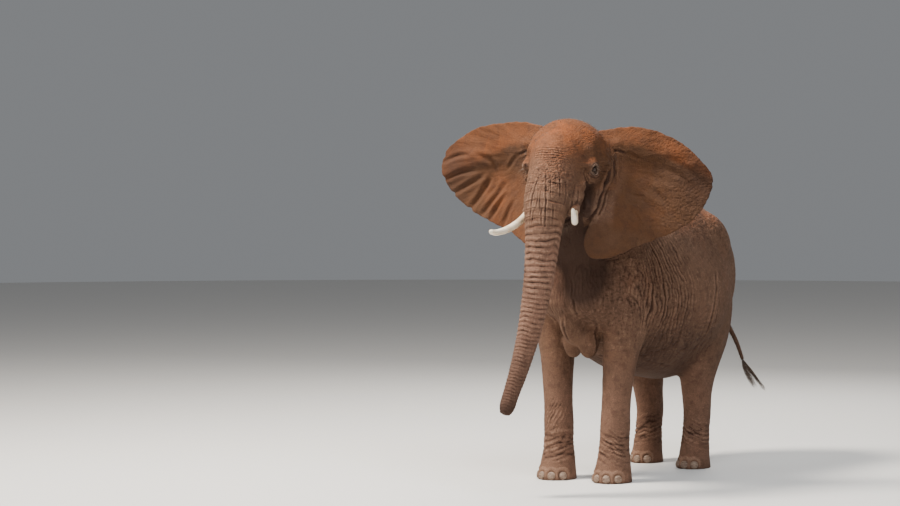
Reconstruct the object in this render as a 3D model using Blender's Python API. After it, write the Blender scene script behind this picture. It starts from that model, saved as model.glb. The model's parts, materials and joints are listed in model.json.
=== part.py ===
"""A standing African savanna elephant cow at life size, parted into its named pieces.

The flesh is lofted and rounded forms fused into one skin, softened where muscles run into each other,
and parted by thin cuts. Ears, tail, tusks, eyes and toenails are pieces of their own.

Frame: +Z up, metres. The cow faces -Y, its left side is +X, and the origin is on the floor below the
middle of its bounding box. Forms are laid out from a point on the floor between the fore feet, for a cow
2.40 m at the shoulder. The head's forms are laid out from the point midway between its eyes.
"""

import math
from typing import NamedTuple

import bmesh
import bpy
import numpy as np
from mathutils import Matrix, Vector
from mathutils.geometry import delaunay_2d_cdt

# Driving dimensions
SHOULDER_HEIGHT = 2.40
LAYOUT_HEIGHT = 2.40
HEAD = Matrix.Translation((0.16, -0.62, 2.56)) @ Matrix.Rotation(math.radians(13.0), 4, "Z")
BODY = Matrix.Identity(4)
GAP = 0.0004  # left between neighbouring pieces
SHARP_ANGLE = math.radians(50)
SIDES = {"left": 1, "right": -1}

# How finely the flesh is made
SKIN_VOXEL = 0.016
FLESH_TRIANGLES = 2450
HEAD_THINNING = 0.90  # how freely the face is thinned out, where the body is 1
HEAD_FINE = (0, -0.08, -0.08, 0.52)  # middle and reach of the face, in the head's frame
HEAD_FADE = 0.15  # over what distance the face's finer skin gives way to the body's
SMOOTH_PASSES = 6
SOFT_PASSES = 60
LEAST_RADIUS = 0.002
TUBE_SIDES = {"torso": 40, "limb": 28, "slim": 9, "lock": 7}


class Ring(NamedTuple):
    """One cross-section of a lofted form, square to the path through the rings' centres.

    side is the half-width. over and under are the half-depths to either side of it: up and down on a form
    laid from front to back, rear and front on a form laid downwards.
    """

    x: float
    y: float
    z: float
    side: float
    over: float
    under: float


class Blob(NamedTuple):
    """An ellipsoid of flesh with its half-widths. One that is off the middle has a twin on the other side."""

    x: float
    y: float
    z: float
    rx: float
    ry: float
    rz: float


class Dent(NamedTuple):
    """A round hollow pressed into the finished flesh, or a swelling where depth is negative."""

    x: float
    y: float
    z: float
    radius: float
    depth: float


class LimbRegion(NamedTuple):
    """The space that a leg is cut out of: an upright oval pillar under a dome that leans outwards.

    It runs from inner to outer across and reach either way of y along. The dome starts at the height root
    and ends at top, and over that height its inner side moves out evenly by lean.
    """

    inner: float
    outer: float
    y: float
    reach: float
    root: float
    top: float
    lean: float


TORSO = (
    Ring(0, -0.40, 1.50, 0.11, 0.34, 0.05),
    Ring(0, -0.36, 1.50, 0.19, 0.47, 0.09),
    Ring(0, -0.26, 1.50, 0.30, 0.63, 0.15),
    Ring(0, -0.10, 1.50, 0.41, 0.81, 0.24),
    Ring(0, 0.14, 1.50, 0.51, 0.91, 0.42),
    Ring(0, 0.50, 1.50, 0.58, 0.84, 0.62),
    Ring(0, 0.90, 1.50, 0.62, 0.84, 0.71),
    Ring(0, 1.20, 1.50, 0.60, 0.87, 0.73),
    Ring(0, 1.44, 1.50, 0.54, 0.85, 0.63),
    Ring(0, 1.64, 1.50, 0.45, 0.76, 0.46),
    Ring(0, 1.80, 1.50, 0.34, 0.64, 0.32),
    Ring(0, 1.91, 1.50, 0.20, 0.46, 0.18),
    Ring(0, 1.95, 1.50, 0.08, 0.30, 0.06),
)
NECK = (
    Ring(0.12, -0.48, 2.50, 0.23, 0.22, 0.24),
    Ring(0.105, -0.38, 2.42, 0.275, 0.29, 0.27),
    Ring(0.08, -0.27, 2.28, 0.31, 0.33, 0.30),
    Ring(0.05, -0.14, 2.14, 0.34, 0.37, 0.41),
    Ring(0.02, 0.02, 2.00, 0.38, 0.42, 0.50),
    Ring(0, 0.20, 1.86, 0.40, 0.46, 0.50),
)
FORELEG = (
    Ring(0.27, 0.06, 2.02, 0.10, 0.20, 0.20),
    Ring(0.32, 0.06, 1.74, 0.16, 0.27, 0.25),
    Ring(0.325, 0.05, 1.46, 0.17, 0.27, 0.245),
    Ring(0.305, 0.03, 1.20, 0.155, 0.23, 0.180),
    Ring(0.285, 0.015, 1.00, 0.138, 0.165, 0.145),
    Ring(0.272, 0.005, 0.80, 0.124, 0.134, 0.132),
    Ring(0.262, 0.0, 0.62, 0.118, 0.126, 0.128),
    Ring(0.256, 0.0, 0.46, 0.122, 0.130, 0.138),
    Ring(0.252, -0.005, 0.30, 0.122, 0.130, 0.140),
    Ring(0.250, -0.01, 0.18, 0.134, 0.142, 0.156),
    Ring(0.250, -0.02, 0.09, 0.147, 0.156, 0.175),
    Ring(0.250, -0.025, 0.02, 0.155, 0.165, 0.188),
    Ring(0.250, -0.025, -0.08, 0.155, 0.165, 0.188),
)
HINDLEG = (
    Ring(0.22, 1.44, 2.06, 0.12, 0.26, 0.26),
    Ring(0.30, 1.46, 1.76, 0.19, 0.32, 0.34),
    Ring(0.325, 1.46, 1.46, 0.20, 0.33, 0.36),
    Ring(0.33, 1.42, 1.18, 0.186, 0.315, 0.31),
    Ring(0.315, 1.385, 0.96, 0.162, 0.255, 0.245),
    Ring(0.297, 1.375, 0.78, 0.140, 0.190, 0.180),
    Ring(0.287, 1.385, 0.62, 0.122, 0.150, 0.138),
    Ring(0.280, 1.40, 0.46, 0.114, 0.142, 0.126),
    Ring(0.280, 1.385, 0.30, 0.114, 0.128, 0.128),
    Ring(0.280, 1.375, 0.18, 0.122, 0.134, 0.144),
    Ring(0.280, 1.365, 0.09, 0.128, 0.142, 0.162),
    Ring(0.280, 1.36, 0.02, 0.138, 0.152, 0.178),
    Ring(0.280, 1.36, -0.08, 0.138, 0.152, 0.178),
)
# How far each leg stands behind its table's place
STEP = {("fore", "left"): 0.055, ("fore", "right"): -0.012, ("hind", "left"): -0.07, ("hind", "right"): 0.07}
# The trunk starts inside the forehead, and its lower part swings forward and to the cow's right
TRUNK = (
    Ring(0, 0.02, 0.22, 0.17, 0.16, 0.19),
    Ring(0, -0.07, 0.06, 0.200, 0.20, 0.245),
    Ring(0, -0.19, -0.11, 0.200, 0.20, 0.225),
    Ring(0, -0.32, -0.28, 0.180, 0.18, 0.185),
    Ring(0.006, -0.39, -0.45, 0.150, 0.150, 0.155),
    Ring(0.006, -0.43, -0.62, 0.134, 0.132, 0.136),
    Ring(-0.008, -0.46, -0.85, 0.121, 0.118, 0.121),
    Ring(-0.033, -0.48, -1.045, 0.109, 0.107, 0.109),
    Ring(-0.066, -0.50, -1.24, 0.097, 0.095, 0.097),
    Ring(-0.105, -0.53, -1.43, 0.085, 0.083, 0.084),
    Ring(-0.150, -0.57, -1.625, 0.074, 0.070, 0.073),
    Ring(-0.187, -0.61, -1.77, 0.066, 0.062, 0.065),
    Ring(-0.205, -0.650, -1.875, 0.061, 0.048, 0.054),
    Ring(-0.212, -0.665, -1.915, 0.042, 0.032, 0.038),
)
# The flesh round the root of a tusk, and the tusk from deep in it to the tip, for each side
SHEATH = (
    Ring(0.13, 0.02, 0.02, 0.08, 0.09, 0.09),
    Ring(0.145, -0.08, -0.12, 0.09, 0.095, 0.09),
    Ring(0.16, -0.17, -0.24, 0.080, 0.085, 0.08),
    Ring(0.178, -0.225, -0.325, 0.060, 0.062, 0.058),
    Ring(0.186, -0.250, -0.36, 0.040, 0.040, 0.040),
)
TUSKS = {
    "left": (
        Ring(0.163, -0.150, -0.225, 0.025, 0.025, 0.025),
        Ring(0.206, -0.240, -0.335, 0.027, 0.027, 0.027),
        Ring(0.254, -0.358, -0.396, 0.0265, 0.0265, 0.0265),
        Ring(0.299, -0.486, -0.402, 0.024, 0.024, 0.024),
        Ring(0.331, -0.594, -0.345, 0.018, 0.018, 0.018),
        Ring(0.341, -0.638, -0.302, 0.009, 0.009, 0.009),
    ),
    "right": (
        Ring(0.163, -0.150, -0.225, 0.026, 0.026, 0.026),
        Ring(0.192, -0.250, -0.350, 0.0295, 0.0295, 0.0295),
        Ring(0.240, -0.400, -0.440, 0.0290, 0.0290, 0.0290),
        Ring(0.288, -0.550, -0.484, 0.0260, 0.0260, 0.0260),
        Ring(0.315, -0.655, -0.489, 0.0205, 0.0205, 0.0205),
        Ring(0.324, -0.698, -0.480, 0.0115, 0.0115, 0.0115),
    ),
}
JAW = (
    Ring(0, -0.195, -0.480, 0.018, 0.018, 0.022),
    Ring(0, -0.155, -0.450, 0.048, 0.044, 0.046),
    Ring(0, -0.080, -0.410, 0.084, 0.080, 0.074),
    Ring(0, 0.040, -0.355, 0.128, 0.120, 0.120),
    Ring(0, 0.170, -0.290, 0.170, 0.140, 0.165),
    Ring(0, 0.270, -0.200, 0.150, 0.140, 0.170),
)
TAIL = (
    Ring(0.0, 1.72, 2.02, 0.062, 0.056, 0.056),
    Ring(0.0, 1.86, 1.98, 0.062, 0.054, 0.054),
    Ring(0.0, 1.965, 1.88, 0.056, 0.046, 0.046),
    Ring(0.01, 2.02, 1.74, 0.046, 0.040, 0.040),
    Ring(0.03, 2.05, 1.50, 0.036, 0.032, 0.032),
    Ring(0.095, 2.05, 1.33, 0.029, 0.027, 0.027),
    Ring(0.16, 2.06, 1.206, 0.024, 0.023, 0.023),
    Ring(0.235, 2.10, 1.035, 0.020, 0.019, 0.019),
    Ring(0.272, 2.145, 0.88, 0.017, 0.016, 0.016),
)
# The tuft hangs from the tail's end in two locks
TUFT_LOCKS = (
    (
        Ring(0.2725, 2.1455, 0.878, 0.013, 0.012, 0.012),
        Ring(0.290, 2.155, 0.82, 0.030, 0.018, 0.018),
        Ring(0.322, 2.175, 0.73, 0.034, 0.018, 0.018),
        Ring(0.355, 2.195, 0.66, 0.022, 0.012, 0.012),
        Ring(0.372, 2.200, 0.625, 0.008, 0.006, 0.006),
    ),
    (
        Ring(0.285, 2.150, 0.86, 0.008, 0.010, 0.010),
        Ring(0.325, 2.170, 0.80, 0.020, 0.014, 0.014),
        Ring(0.380, 2.205, 0.71, 0.020, 0.013, 0.013),
        Ring(0.425, 2.235, 0.64, 0.013, 0.009, 0.009),
        Ring(0.447, 2.250, 0.595, 0.006, 0.005, 0.005),
    ),
)
BODY_BLOBS = (
    Blob(0.33, 0.09, 1.78, 0.19, 0.28, 0.44),  # shoulder blade
    Blob(0.13, -0.15, 1.57, 0.13, 0.15, 0.17),  # breast muscle
    Blob(0.072, -0.06, 1.175, 0.070, 0.110, 0.155),  # breast
    Blob(0, -0.13, 1.36, 0.115, 0.22, 0.24),  # keel of the chest
    Blob(0.27, 1.38, 1.86, 0.25, 0.36, 0.36),  # hip
    Blob(0.24, 1.60, 1.66, 0.22, 0.28, 0.44),  # rump
    Blob(0, 1.80, 1.96, 0.13, 0.13, 0.14),  # root of the tail
    Blob(0, 1.56, 1.10, 0.10, 0.16, 0.24),  # between the thighs
)
HEAD_BLOBS = (
    Blob(0, 0.17, 0.085, 0.342, 0.335, 0.331),  # cranium
    Blob(0, -0.05, 0.05, 0.235, 0.24, 0.27),  # forehead
    Blob(0.245, -0.02, 0.050, 0.075, 0.10, 0.070),  # brow
    Blob(0.245, 0.05, -0.065, 0.072, 0.14, 0.062),  # cheekbone
    Blob(0.185, 0.16, -0.17, 0.120, 0.16, 0.245),  # chewing muscle
    Blob(0.285, 0.27, 0.03, 0.085, 0.11, 0.235),  # root of the ear
    Blob(0, -0.06, -0.26, 0.135, 0.13, 0.11),  # palate
    Blob(0, 0.36, -0.02, 0.30, 0.24, 0.30),  # nape
)
HEAD_DENTS = (
    Dent(0.325, 0.09, 0.135, 0.13, 0.024),  # temple
    Dent(0.240, 0.01, -0.18, 0.10, 0.036),  # between sheath and chewing muscle
)
BODY_DENTS = (
    Dent(0.46, 1.03, 1.02, 0.24, 0.026),  # flank, ahead of the thigh
    Dent(0.50, 1.02, 1.95, 0.34, 0.020),  # loin
)
# Places where forms run into each other and the skin is drawn smooth: centre, reach and strength
SOFT_BODY = (
    (0.38, 0.08, 1.52, 0.42, 1.0),
    (0.0, -0.25, 1.75, 0.55, 1.0),
    (0.32, 1.42, 1.30, 0.60, 1.0),
    (0.0, 0.05, 2.25, 0.55, 1.0),
    (0.0, 1.55, 1.90, 0.85, 1.0),
    (0.45, 0.75, 1.50, 0.90, 1.0),
)
SOFT_HEAD = (
    (0.0, -0.10, 0.15, 0.34, 0.4),
    (0.20, 0.30, 0.20, 0.30, 0.5),
    (0.0, 0.45, -0.10, 0.38, 1.0),
)
SOFT_FADE = 0.4  # share of a soft place's reach over which it fades out

# Ears. The sheet lies in a plane through the root, a outwards and b upwards from the level of the eyes.
EAR_ROOT = (0.300, 0.255)  # to the side and behind the eyes' midpoint
EAR_SWEEP = math.radians(9.0)
EAR_RIMS = {
    "left": (
        (-0.06, 0.315),
        (0.27, 0.340),
        (0.515, 0.262),
        (0.715, 0.120),
        (0.850, -0.075),
        (0.81, -0.235),
        (0.70, -0.392),
        (0.51, -0.51),
        (0.26, -0.61),
        (0.02, -0.705),
        (-0.09, -0.70),
        (-0.145, -0.60),
        (-0.125, -0.47),
        (-0.07, -0.34),
    ),
    "right": (
        (-0.06, 0.355),
        (0.16, 0.392),
        (0.36, 0.383),
        (0.56, 0.352),
        (0.745, 0.272),
        (0.915, 0.135),
        (0.938, 0.050),
        (0.915, -0.070),
        (0.845, -0.175),
        (0.735, -0.270),
        (0.56, -0.370),
        (0.29, -0.480),
        (0.115, -0.545),
        (-0.02, -0.600),
        (-0.10, -0.590),
        (-0.13, -0.490),
        (-0.08, -0.350),
    ),
}
EAR_HALF_ROOT = 0.024
EAR_HALF_RIM = 0.008
EAR_ROOT_REACH = 0.55  # how far from its root an ear is thicker
EAR_SPACING = 0.098  # between the points of the sheet
EAR_CLEARANCE = 0.55  # least way of a point from the rim, as a share of the spacing
EAR_SPAN = ((-0.3, 1.0), (-0.8, 0.5))  # what the sheet's points cover, out and up
EAR_RIDGE = (0.030, 0.20, 0.25, 0.10)  # height, level at the root, droop and half-width of the upper ridge
EAR_DISH = (-0.045, 0.40, 0.30, -0.05, 0.28)  # depth, then place and reach outwards and upwards
EAR_LOBE = (0.20, 0.12, 0.55, 0.42, 0.55)  # how far the lower lobe swings, where from, downwards and inwards
EAR_TIP = (-0.05, 0.45, 0.45)  # how far the outer edge turns back, where from and over what way

EYE = (0.283, -0.002, 0.004)  # middle of the left eyeball in the head's frame
EYE_TURN = 52  # degrees from straight ahead to where it looks
EYE_RADIUS = 0.0215
EYE_OPENING = (0.030, 0.040, 0.023)  # half width, depth and height of the gap between the lids
EYE_OPENING_AHEAD = 0.024  # how far ahead of the eyeball's middle the gap's middle lies

# Where the flesh parts. A block is its centre, size and tilt in degrees.
LIMB_REGIONS = {
    "fore": LimbRegion(0.02, 0.66, 0.05, 0.34, 0.86, 1.66, 0.30),
    "hind": LimbRegion(0.02, 0.70, 1.44, 0.44, 0.76, 1.72, 0.36),
}
LIMB_REGION_SIDES = 24
LIMB_REGION_FOOT = -0.2
DOME_STEPS = (25, 45, 62, 76)  # degrees up the dome at which its rings lie
LOW_BLOCK_MIDDLE = (0, 1)
LOW_BLOCK_SIZE = (4, 8, 1)
ANKLE = 0.215  # height of the cut above each foot
HEAD_BLOCK = ((0, -1.134, 0.316), (3, 3, 5), -17)
JAW_BLOCK = ((0, -0.032, -0.511), (0.8, 0.34, 0.30), 17)
NECK_BLOCK = ((0, -1.54, 2.75), (4, 3, 4), -30)
TRUNK_BLOCK = ((0, -0.702), (1.4, 1.0, 2.0), 0)  # its top lies at each of the cuts in turn
TRUNK_CUTS = (-0.40, -0.95, -1.45)  # heights in the head's frame

NAIL_TURNS = {"fore": (-54, -19, 17, 52), "hind": (-38, 0, 37)}  # degrees from straight ahead
NAIL = (0.017, 0.034, 0.032)  # half depth, half width, half height
NAIL_HEIGHT = 0.040
NAIL_INSET = 0.006  # how far inside the foot's edge a nail's middle lies
NAIL_LEAN = -14  # degrees
NAIL_SEGMENTS = (7, 4)  # round and over a nail

COLOURS = {
    "skin": ((0.195, 0.115, 0.078), 0.85),
    "pale": ((0.235, 0.150, 0.110), 0.85),
    "dark": ((0.090, 0.055, 0.042), 0.85),
    "hair": ((0.020, 0.014, 0.012), 0.60),
    "ivory": ((0.730, 0.640, 0.480), 0.35),
    "nail": ((0.290, 0.225, 0.170), 0.55),
    "eye": ((0.025, 0.012, 0.006), 0.10),
}


def clear_scene() -> None:
    """Remove every object that the scene starts with."""
    for obj in list(bpy.data.objects):
        bpy.data.objects.remove(obj, do_unlink=True)


def smooth_rows(rows, per_span: int) -> np.ndarray:
    """Return rows of numbers threaded by a smooth curve, per_span rows for each gap between given ones."""
    rows = np.array(rows, dtype=float)
    places = rows[:, : min(3, rows.shape[1])]
    chords = np.linalg.norm(np.diff(places, axis=0), axis=1)
    knots = np.concatenate(([0.0], np.cumsum(chords)))
    slopes = np.gradient(rows, knots, axis=0)
    threaded = []
    for i, span in enumerate(chords):
        for t in np.arange(per_span) / per_span:
            start = (1 + 2 * t) * (1 - t) ** 2 * rows[i] + t * (1 - t) ** 2 * span * slopes[i]
            end = t * t * (3 - 2 * t) * rows[i + 1] - t * t * (1 - t) * span * slopes[i + 1]
            threaded.append(start + end)
    threaded.append(rows[-1])
    return np.array(threaded)


def new_object(name: str, mesh: bpy.types.Mesh) -> bpy.types.Object:
    """Link a new object for a mesh into the scene."""
    obj = bpy.data.objects.new(name, mesh)
    bpy.context.scene.collection.objects.link(obj)
    return obj


def to_object(name: str, bm: bmesh.types.BMesh) -> bpy.types.Object:
    """Turn a bmesh into an object whose faces point out."""
    bmesh.ops.recalc_face_normals(bm, faces=bm.faces)
    mesh = bpy.data.meshes.new(name)
    bm.to_mesh(mesh)
    bm.free()
    return new_object(name, mesh)


def close_tube(bm: bmesh.types.BMesh, loops) -> None:
    """Join a row of loops with triangles, always split the same way, and cap both ends."""
    for one, two in zip(loops, loops[1:]):
        for turn, corner in enumerate(one):
            after = (turn + 1) % len(one)
            bm.faces.new((corner, one[after], two[after]))
            bm.faces.new((corner, two[after], two[turn]))
    bm.faces.new(loops[0])
    bm.faces.new(loops[-1])


def add_loft(bm: bmesh.types.BMesh, rings, frame: Matrix, side: int = 1, step: float = 0.0,
             sides: int = TUBE_SIDES["limb"], per_span: int = 4, grow: float = 0.0) -> None:
    """Skin a row of rings with a closed tube. side -1 mirrors it, and step moves it back."""
    rows = smooth_rows(rings, per_span)
    rows[:, 3:] = np.maximum(rows[:, 3:], LEAST_RADIUS) + grow
    centres = rows[:, :3]
    paths = np.gradient(centres, axis=0)
    for end, outward in ((0, -1), (-1, 1)):
        centres[end] += outward * grow * paths[end] / np.linalg.norm(paths[end])
    loops = []
    for row, path in zip(rows, paths):
        centre = Vector(row[:3])
        path = Vector(path).normalized()
        across = (Vector((1, 0, 0)) - path * path.x).normalized()
        over = across.cross(path)
        loop = []
        for turn in range(sides):
            angle = math.tau * turn / sides
            reach = row[4] if math.sin(angle) > 0 else row[5]
            point = centre + across * (row[3] * math.cos(angle)) + over * (reach * math.sin(angle))
            loop.append(bm.verts.new(frame @ Vector((side * point.x, point.y + step, point.z))))
        loops.append(loop)
    close_tube(bm, loops)


def add_blob(bm: bmesh.types.BMesh, blob: Blob, frame: Matrix) -> None:
    """Add an ellipsoid, and its twin on the other side when it stands off the middle."""
    for side in (1, -1) if blob.x else (1,):
        place = Matrix.Translation((side * blob.x, blob.y, blob.z))
        size = Matrix.Diagonal((blob.rx, blob.ry, blob.rz, 1.0))
        bmesh.ops.create_uvsphere(bm, u_segments=32, v_segments=20, radius=1.0, matrix=frame @ place @ size)


def evaluated(obj: bpy.types.Object) -> None:
    """Fix an object's modifiers in its mesh."""
    mesh = bpy.data.meshes.new_from_object(obj.evaluated_get(bpy.context.evaluated_depsgraph_get()))
    obj.modifiers.clear()
    obj.data = mesh


def combine(target: bpy.types.Object, tool: bpy.types.Object, operation: str) -> None:
    """Cut, join or keep what is common of target and tool, and remove tool."""
    boolean = target.modifiers.new("combine", "BOOLEAN")
    boolean.operation = operation
    boolean.object = tool
    evaluated(target)
    bpy.data.objects.remove(tool, do_unlink=True)


def get_points(mesh: bpy.types.Mesh, field: str = "co") -> np.ndarray:
    """Return a mesh's vertex places, or its normals, as rows of three."""
    values = np.empty(len(mesh.vertices) * 3)
    mesh.vertices.foreach_get(field, values)
    return values.reshape(-1, 3)


def set_points(mesh: bpy.types.Mesh, points: np.ndarray) -> None:
    """Write vertex places back to a mesh."""
    mesh.vertices.foreach_set("co", points.ravel())
    mesh.update()


def to_frame(points: np.ndarray, frame: Matrix) -> np.ndarray:
    """Return world points in a frame's own coordinates."""
    inverse = np.array(frame.inverted())
    return points @ inverse[:3, :3].T + inverse[:3, 3]


def both_sides(place) -> tuple:
    """Return a place, and its mirror where it stands off the middle."""
    x, y, z = place
    return ((x, y, z), (-x, y, z)) if x else ((x, y, z),)


def press_dents(mesh: bpy.types.Mesh, dents, frame: Matrix) -> None:
    """Press round hollows with soft edges into a mesh, on both sides."""
    for dent in dents:
        points = get_points(mesh)
        normals = get_points(mesh, "normal")
        local = to_frame(points, frame)
        depth = np.zeros(len(points))
        for place in both_sides(dent[:3]):
            distance = np.linalg.norm(local - np.array(place), axis=1) / dent.radius
            depth += dent.depth * np.clip(1 - distance**2, 0, 1) ** 2
        set_points(mesh, points - normals * depth[:, None])


def soft_weights(points: np.ndarray) -> np.ndarray:
    """Return how far each point lies in one of the soft places, 0 to 1."""
    weights = np.zeros(len(points))
    for frame, places in ((BODY, SOFT_BODY), (HEAD, SOFT_HEAD)):
        local = to_frame(points, frame)
        for *centre, reach, strength in places:
            for place in both_sides(centre):
                distance = np.linalg.norm(local - np.array(place), axis=1)
                fade = np.clip((reach - distance) / (reach * SOFT_FADE), 0, 1)
                weights = np.maximum(weights, fade * strength)
    return weights


def paint_group(obj: bpy.types.Object, name: str, weights: np.ndarray) -> None:
    """Store weights in a vertex group, in steps of a tenth."""
    group = obj.vertex_groups.new(name=name)
    tenths = np.round(weights * 10).astype(int)
    for tenth in range(1, 11):
        group.add(np.flatnonzero(tenths == tenth).tolist(), tenth / 10, "REPLACE")


def build_flesh() -> bpy.types.Object:
    """Fuse all the forms into one closed skin, soften it and thin it out."""
    bm = bmesh.new()
    add_loft(bm, TORSO, BODY, sides=TUBE_SIDES["torso"])
    add_loft(bm, NECK, BODY, sides=TUBE_SIDES["torso"])
    add_loft(bm, TRUNK, HEAD)
    add_loft(bm, JAW, HEAD)
    for name, side in SIDES.items():
        add_loft(bm, FORELEG, BODY, side, STEP["fore", name])
        add_loft(bm, HINDLEG, BODY, side, STEP["hind", name])
        add_loft(bm, SHEATH, HEAD, side)
    for blob in BODY_BLOBS:
        add_blob(bm, blob, BODY)
    for blob in HEAD_BLOBS:
        add_blob(bm, blob, HEAD)
    flesh = to_object("flesh", bm)

    remesh = flesh.modifiers.new("fuse", "REMESH")
    remesh.mode = "VOXEL"
    remesh.voxel_size = SKIN_VOXEL
    evaluated(flesh)

    paint_group(flesh, "soft", soft_weights(get_points(flesh.data)))
    for passes, group in ((SMOOTH_PASSES, ""), (SOFT_PASSES, "soft")):
        smooth = flesh.modifiers.new("smooth", "SMOOTH")
        smooth.factor = 0.5
        smooth.iterations = passes
        smooth.vertex_group = group
    evaluated(flesh)
    flesh.vertex_groups.clear()
    press_dents(flesh.data, HEAD_DENTS, HEAD)
    press_dents(flesh.data, BODY_DENTS, BODY)

    local = to_frame(get_points(flesh.data), HEAD)
    local = local - np.array(HEAD_FINE[:3])
    near_head = np.clip((HEAD_FINE[3] - np.linalg.norm(local, axis=1)) / HEAD_FADE, 0, 1)
    paint_group(flesh, "thin", 1 - (1 - HEAD_THINNING) * near_head)
    thin = flesh.modifiers.new("thin", "DECIMATE")
    thin.ratio = FLESH_TRIANGLES / (2 * len(flesh.data.polygons))
    thin.vertex_group = "thin"
    evaluated(flesh)
    flesh.vertex_groups.clear()
    combine(flesh, below(0.0, 0.0), "DIFFERENCE")
    return flesh


def block(centre, size, tilt: float, frame: Matrix, grow: float) -> bpy.types.Object:
    """Return a box, turned by tilt degrees about the frame's X axis through its centre."""
    bm = bmesh.new()
    place = frame @ Matrix.Translation(centre) @ Matrix.Rotation(math.radians(tilt), 4, "X")
    bmesh.ops.create_cube(bm, size=1.0, matrix=place @ Matrix.Diagonal((*[s + 2 * grow for s in size], 1.0)))
    return to_object("block", bm)


def below(height: float, grow: float) -> bpy.types.Object:
    """Return a block that holds everything below a height."""
    x, y = LOW_BLOCK_MIDDLE
    return block((x, y, height - LOW_BLOCK_SIZE[2] / 2), LOW_BLOCK_SIZE, 0, BODY, grow)


def limb_region(region: LimbRegion, side: int, step: float, grow: float) -> bpy.types.Object:
    """Return the solid of a leg's region, on one side, moved back by step and larger all round by grow."""
    heights = [LIMB_REGION_FOOT, region.root]
    heights += [region.root + (region.top - region.root) * math.sin(math.radians(a)) for a in DOME_STEPS]
    bm = bmesh.new()
    loops = []
    for height in heights:
        rise = max(0.0, (height - region.root) / (region.top - region.root))
        narrowing = math.sqrt(1 - rise**2)
        inner = region.inner + region.lean * rise
        middle, reach = (inner + region.outer) / 2, (region.outer - inner) / 2 + grow
        loop = []
        for turn in range(LIMB_REGION_SIDES):
            angle = math.tau * turn / LIMB_REGION_SIDES
            x = middle + reach * math.cos(angle)
            y = region.y + step + (region.reach * narrowing + grow) * math.sin(angle)
            loop.append(bm.verts.new((side * x, y, height + grow)))
        loops.append(loop)
    close_tube(bm, loops)
    return to_object("limb_region", bm)


def part_off(name: str, flesh: bpy.types.Object, region) -> bpy.types.Object:
    """Part the flesh that lies in a region from the rest, with a gap between.

    Args:
        name: name of the new piece.
        flesh: what is left of the flesh, which loses the region.
        region: function that makes the region's object, a given amount larger all round.
    """
    piece = new_object(name, flesh.data.copy())
    combine(piece, region(0.0), "INTERSECT")
    combine(flesh, region(GAP), "DIFFERENCE")
    return piece


def part_flesh(flesh: bpy.types.Object) -> dict:
    """Part the whole flesh into its named pieces with thin cuts."""
    pieces = {}
    for name, side in SIDES.items():
        for end, region in LIMB_REGIONS.items():
            leg = part_off(f"{end}leg_{name}", flesh, lambda grow: limb_region(
                region, side, STEP[end, name], grow))
            foot = part_off(f"{end}foot_{name}", leg, lambda grow: below(ANKLE, grow))
            pieces[leg.name] = leg
            pieces[foot.name] = foot

    head = part_off("head", flesh, lambda grow: block(*HEAD_BLOCK, HEAD, grow))
    for length, height in zip(("lower", "middle", "upper"), reversed(TRUNK_CUTS)):
        middle, size, tilt = TRUNK_BLOCK
        lower = (*middle, height - size[2] / 2)
        pieces[f"trunk_{length}"] = part_off(f"trunk_{length}", head, lambda grow: block(
            lower, size, tilt, HEAD, grow))
    pieces["lower_jaw"] = part_off("lower_jaw", head, lambda grow: block(*JAW_BLOCK, HEAD, grow))
    pieces["neck"] = part_off("neck", flesh, lambda grow: block(*NECK_BLOCK, BODY, grow))
    flesh.name = "torso"
    pieces["head"] = head
    pieces["torso"] = flesh
    return pieces


def ear_depth(a: float, b: float) -> float:
    """Return how far forward of its plane the ear's sheet lies."""
    height, level, droop, width = EAR_RIDGE
    ridge = height * math.exp(-(((b - level + droop * a * a) / width) ** 2))
    depth, out, out_reach, up, up_reach = EAR_DISH
    dish = depth * math.exp(-(((a - out) / out_reach) ** 2) - ((b - up) / up_reach) ** 2)
    swing, down, down_reach, inward, inward_reach = EAR_LOBE
    lobe = swing * ease((-b - down) / down_reach) * ease((inward - a) / inward_reach)
    back, start, way = EAR_TIP
    return ridge + dish + lobe + back * ease((a - start) / way)


def ease(t: float) -> float:
    """Return 0 below 0, 1 above 1 and a smooth rise between."""
    t = min(max(t, 0.0), 1.0)
    return t * t * (3 - 2 * t)


def even_rim(name: str, spacing: float) -> np.ndarray:
    """Return an ear's outline as points about spacing apart."""
    rim = smooth_rows(EAR_RIMS[name], 12)
    walked = np.concatenate(([0.0], np.cumsum(np.linalg.norm(np.diff(rim, axis=0), axis=1))))
    stops = np.linspace(0.0, walked[-1], round(walked[-1] / spacing) + 1)
    return np.column_stack([np.interp(stops, walked, rim[:, k]) for k in (0, 1)])


def reach_inside(points: np.ndarray, outline: np.ndarray) -> np.ndarray:
    """Return how far inside a closed outline each point lies, negative outside."""
    reach = np.full(len(points), np.inf)
    inside = np.zeros(len(points), dtype=bool)
    for start, end in zip(outline, np.roll(outline, -1, axis=0)):
        along = end - start
        share = np.clip((points - start) @ along / (along @ along), 0, 1)
        reach = np.minimum(reach, np.linalg.norm(points - start - share[:, None] * along, axis=1))
        if start[1] != end[1]:
            crossing = start[0] + (points[:, 1] - start[1]) / (end[1] - start[1]) * (end[0] - start[0])
            between = (points[:, 1] > min(start[1], end[1])) & (points[:, 1] <= max(start[1], end[1]))
            inside ^= between & (points[:, 0] < crossing)
    return np.where(inside, reach, -reach)


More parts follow.
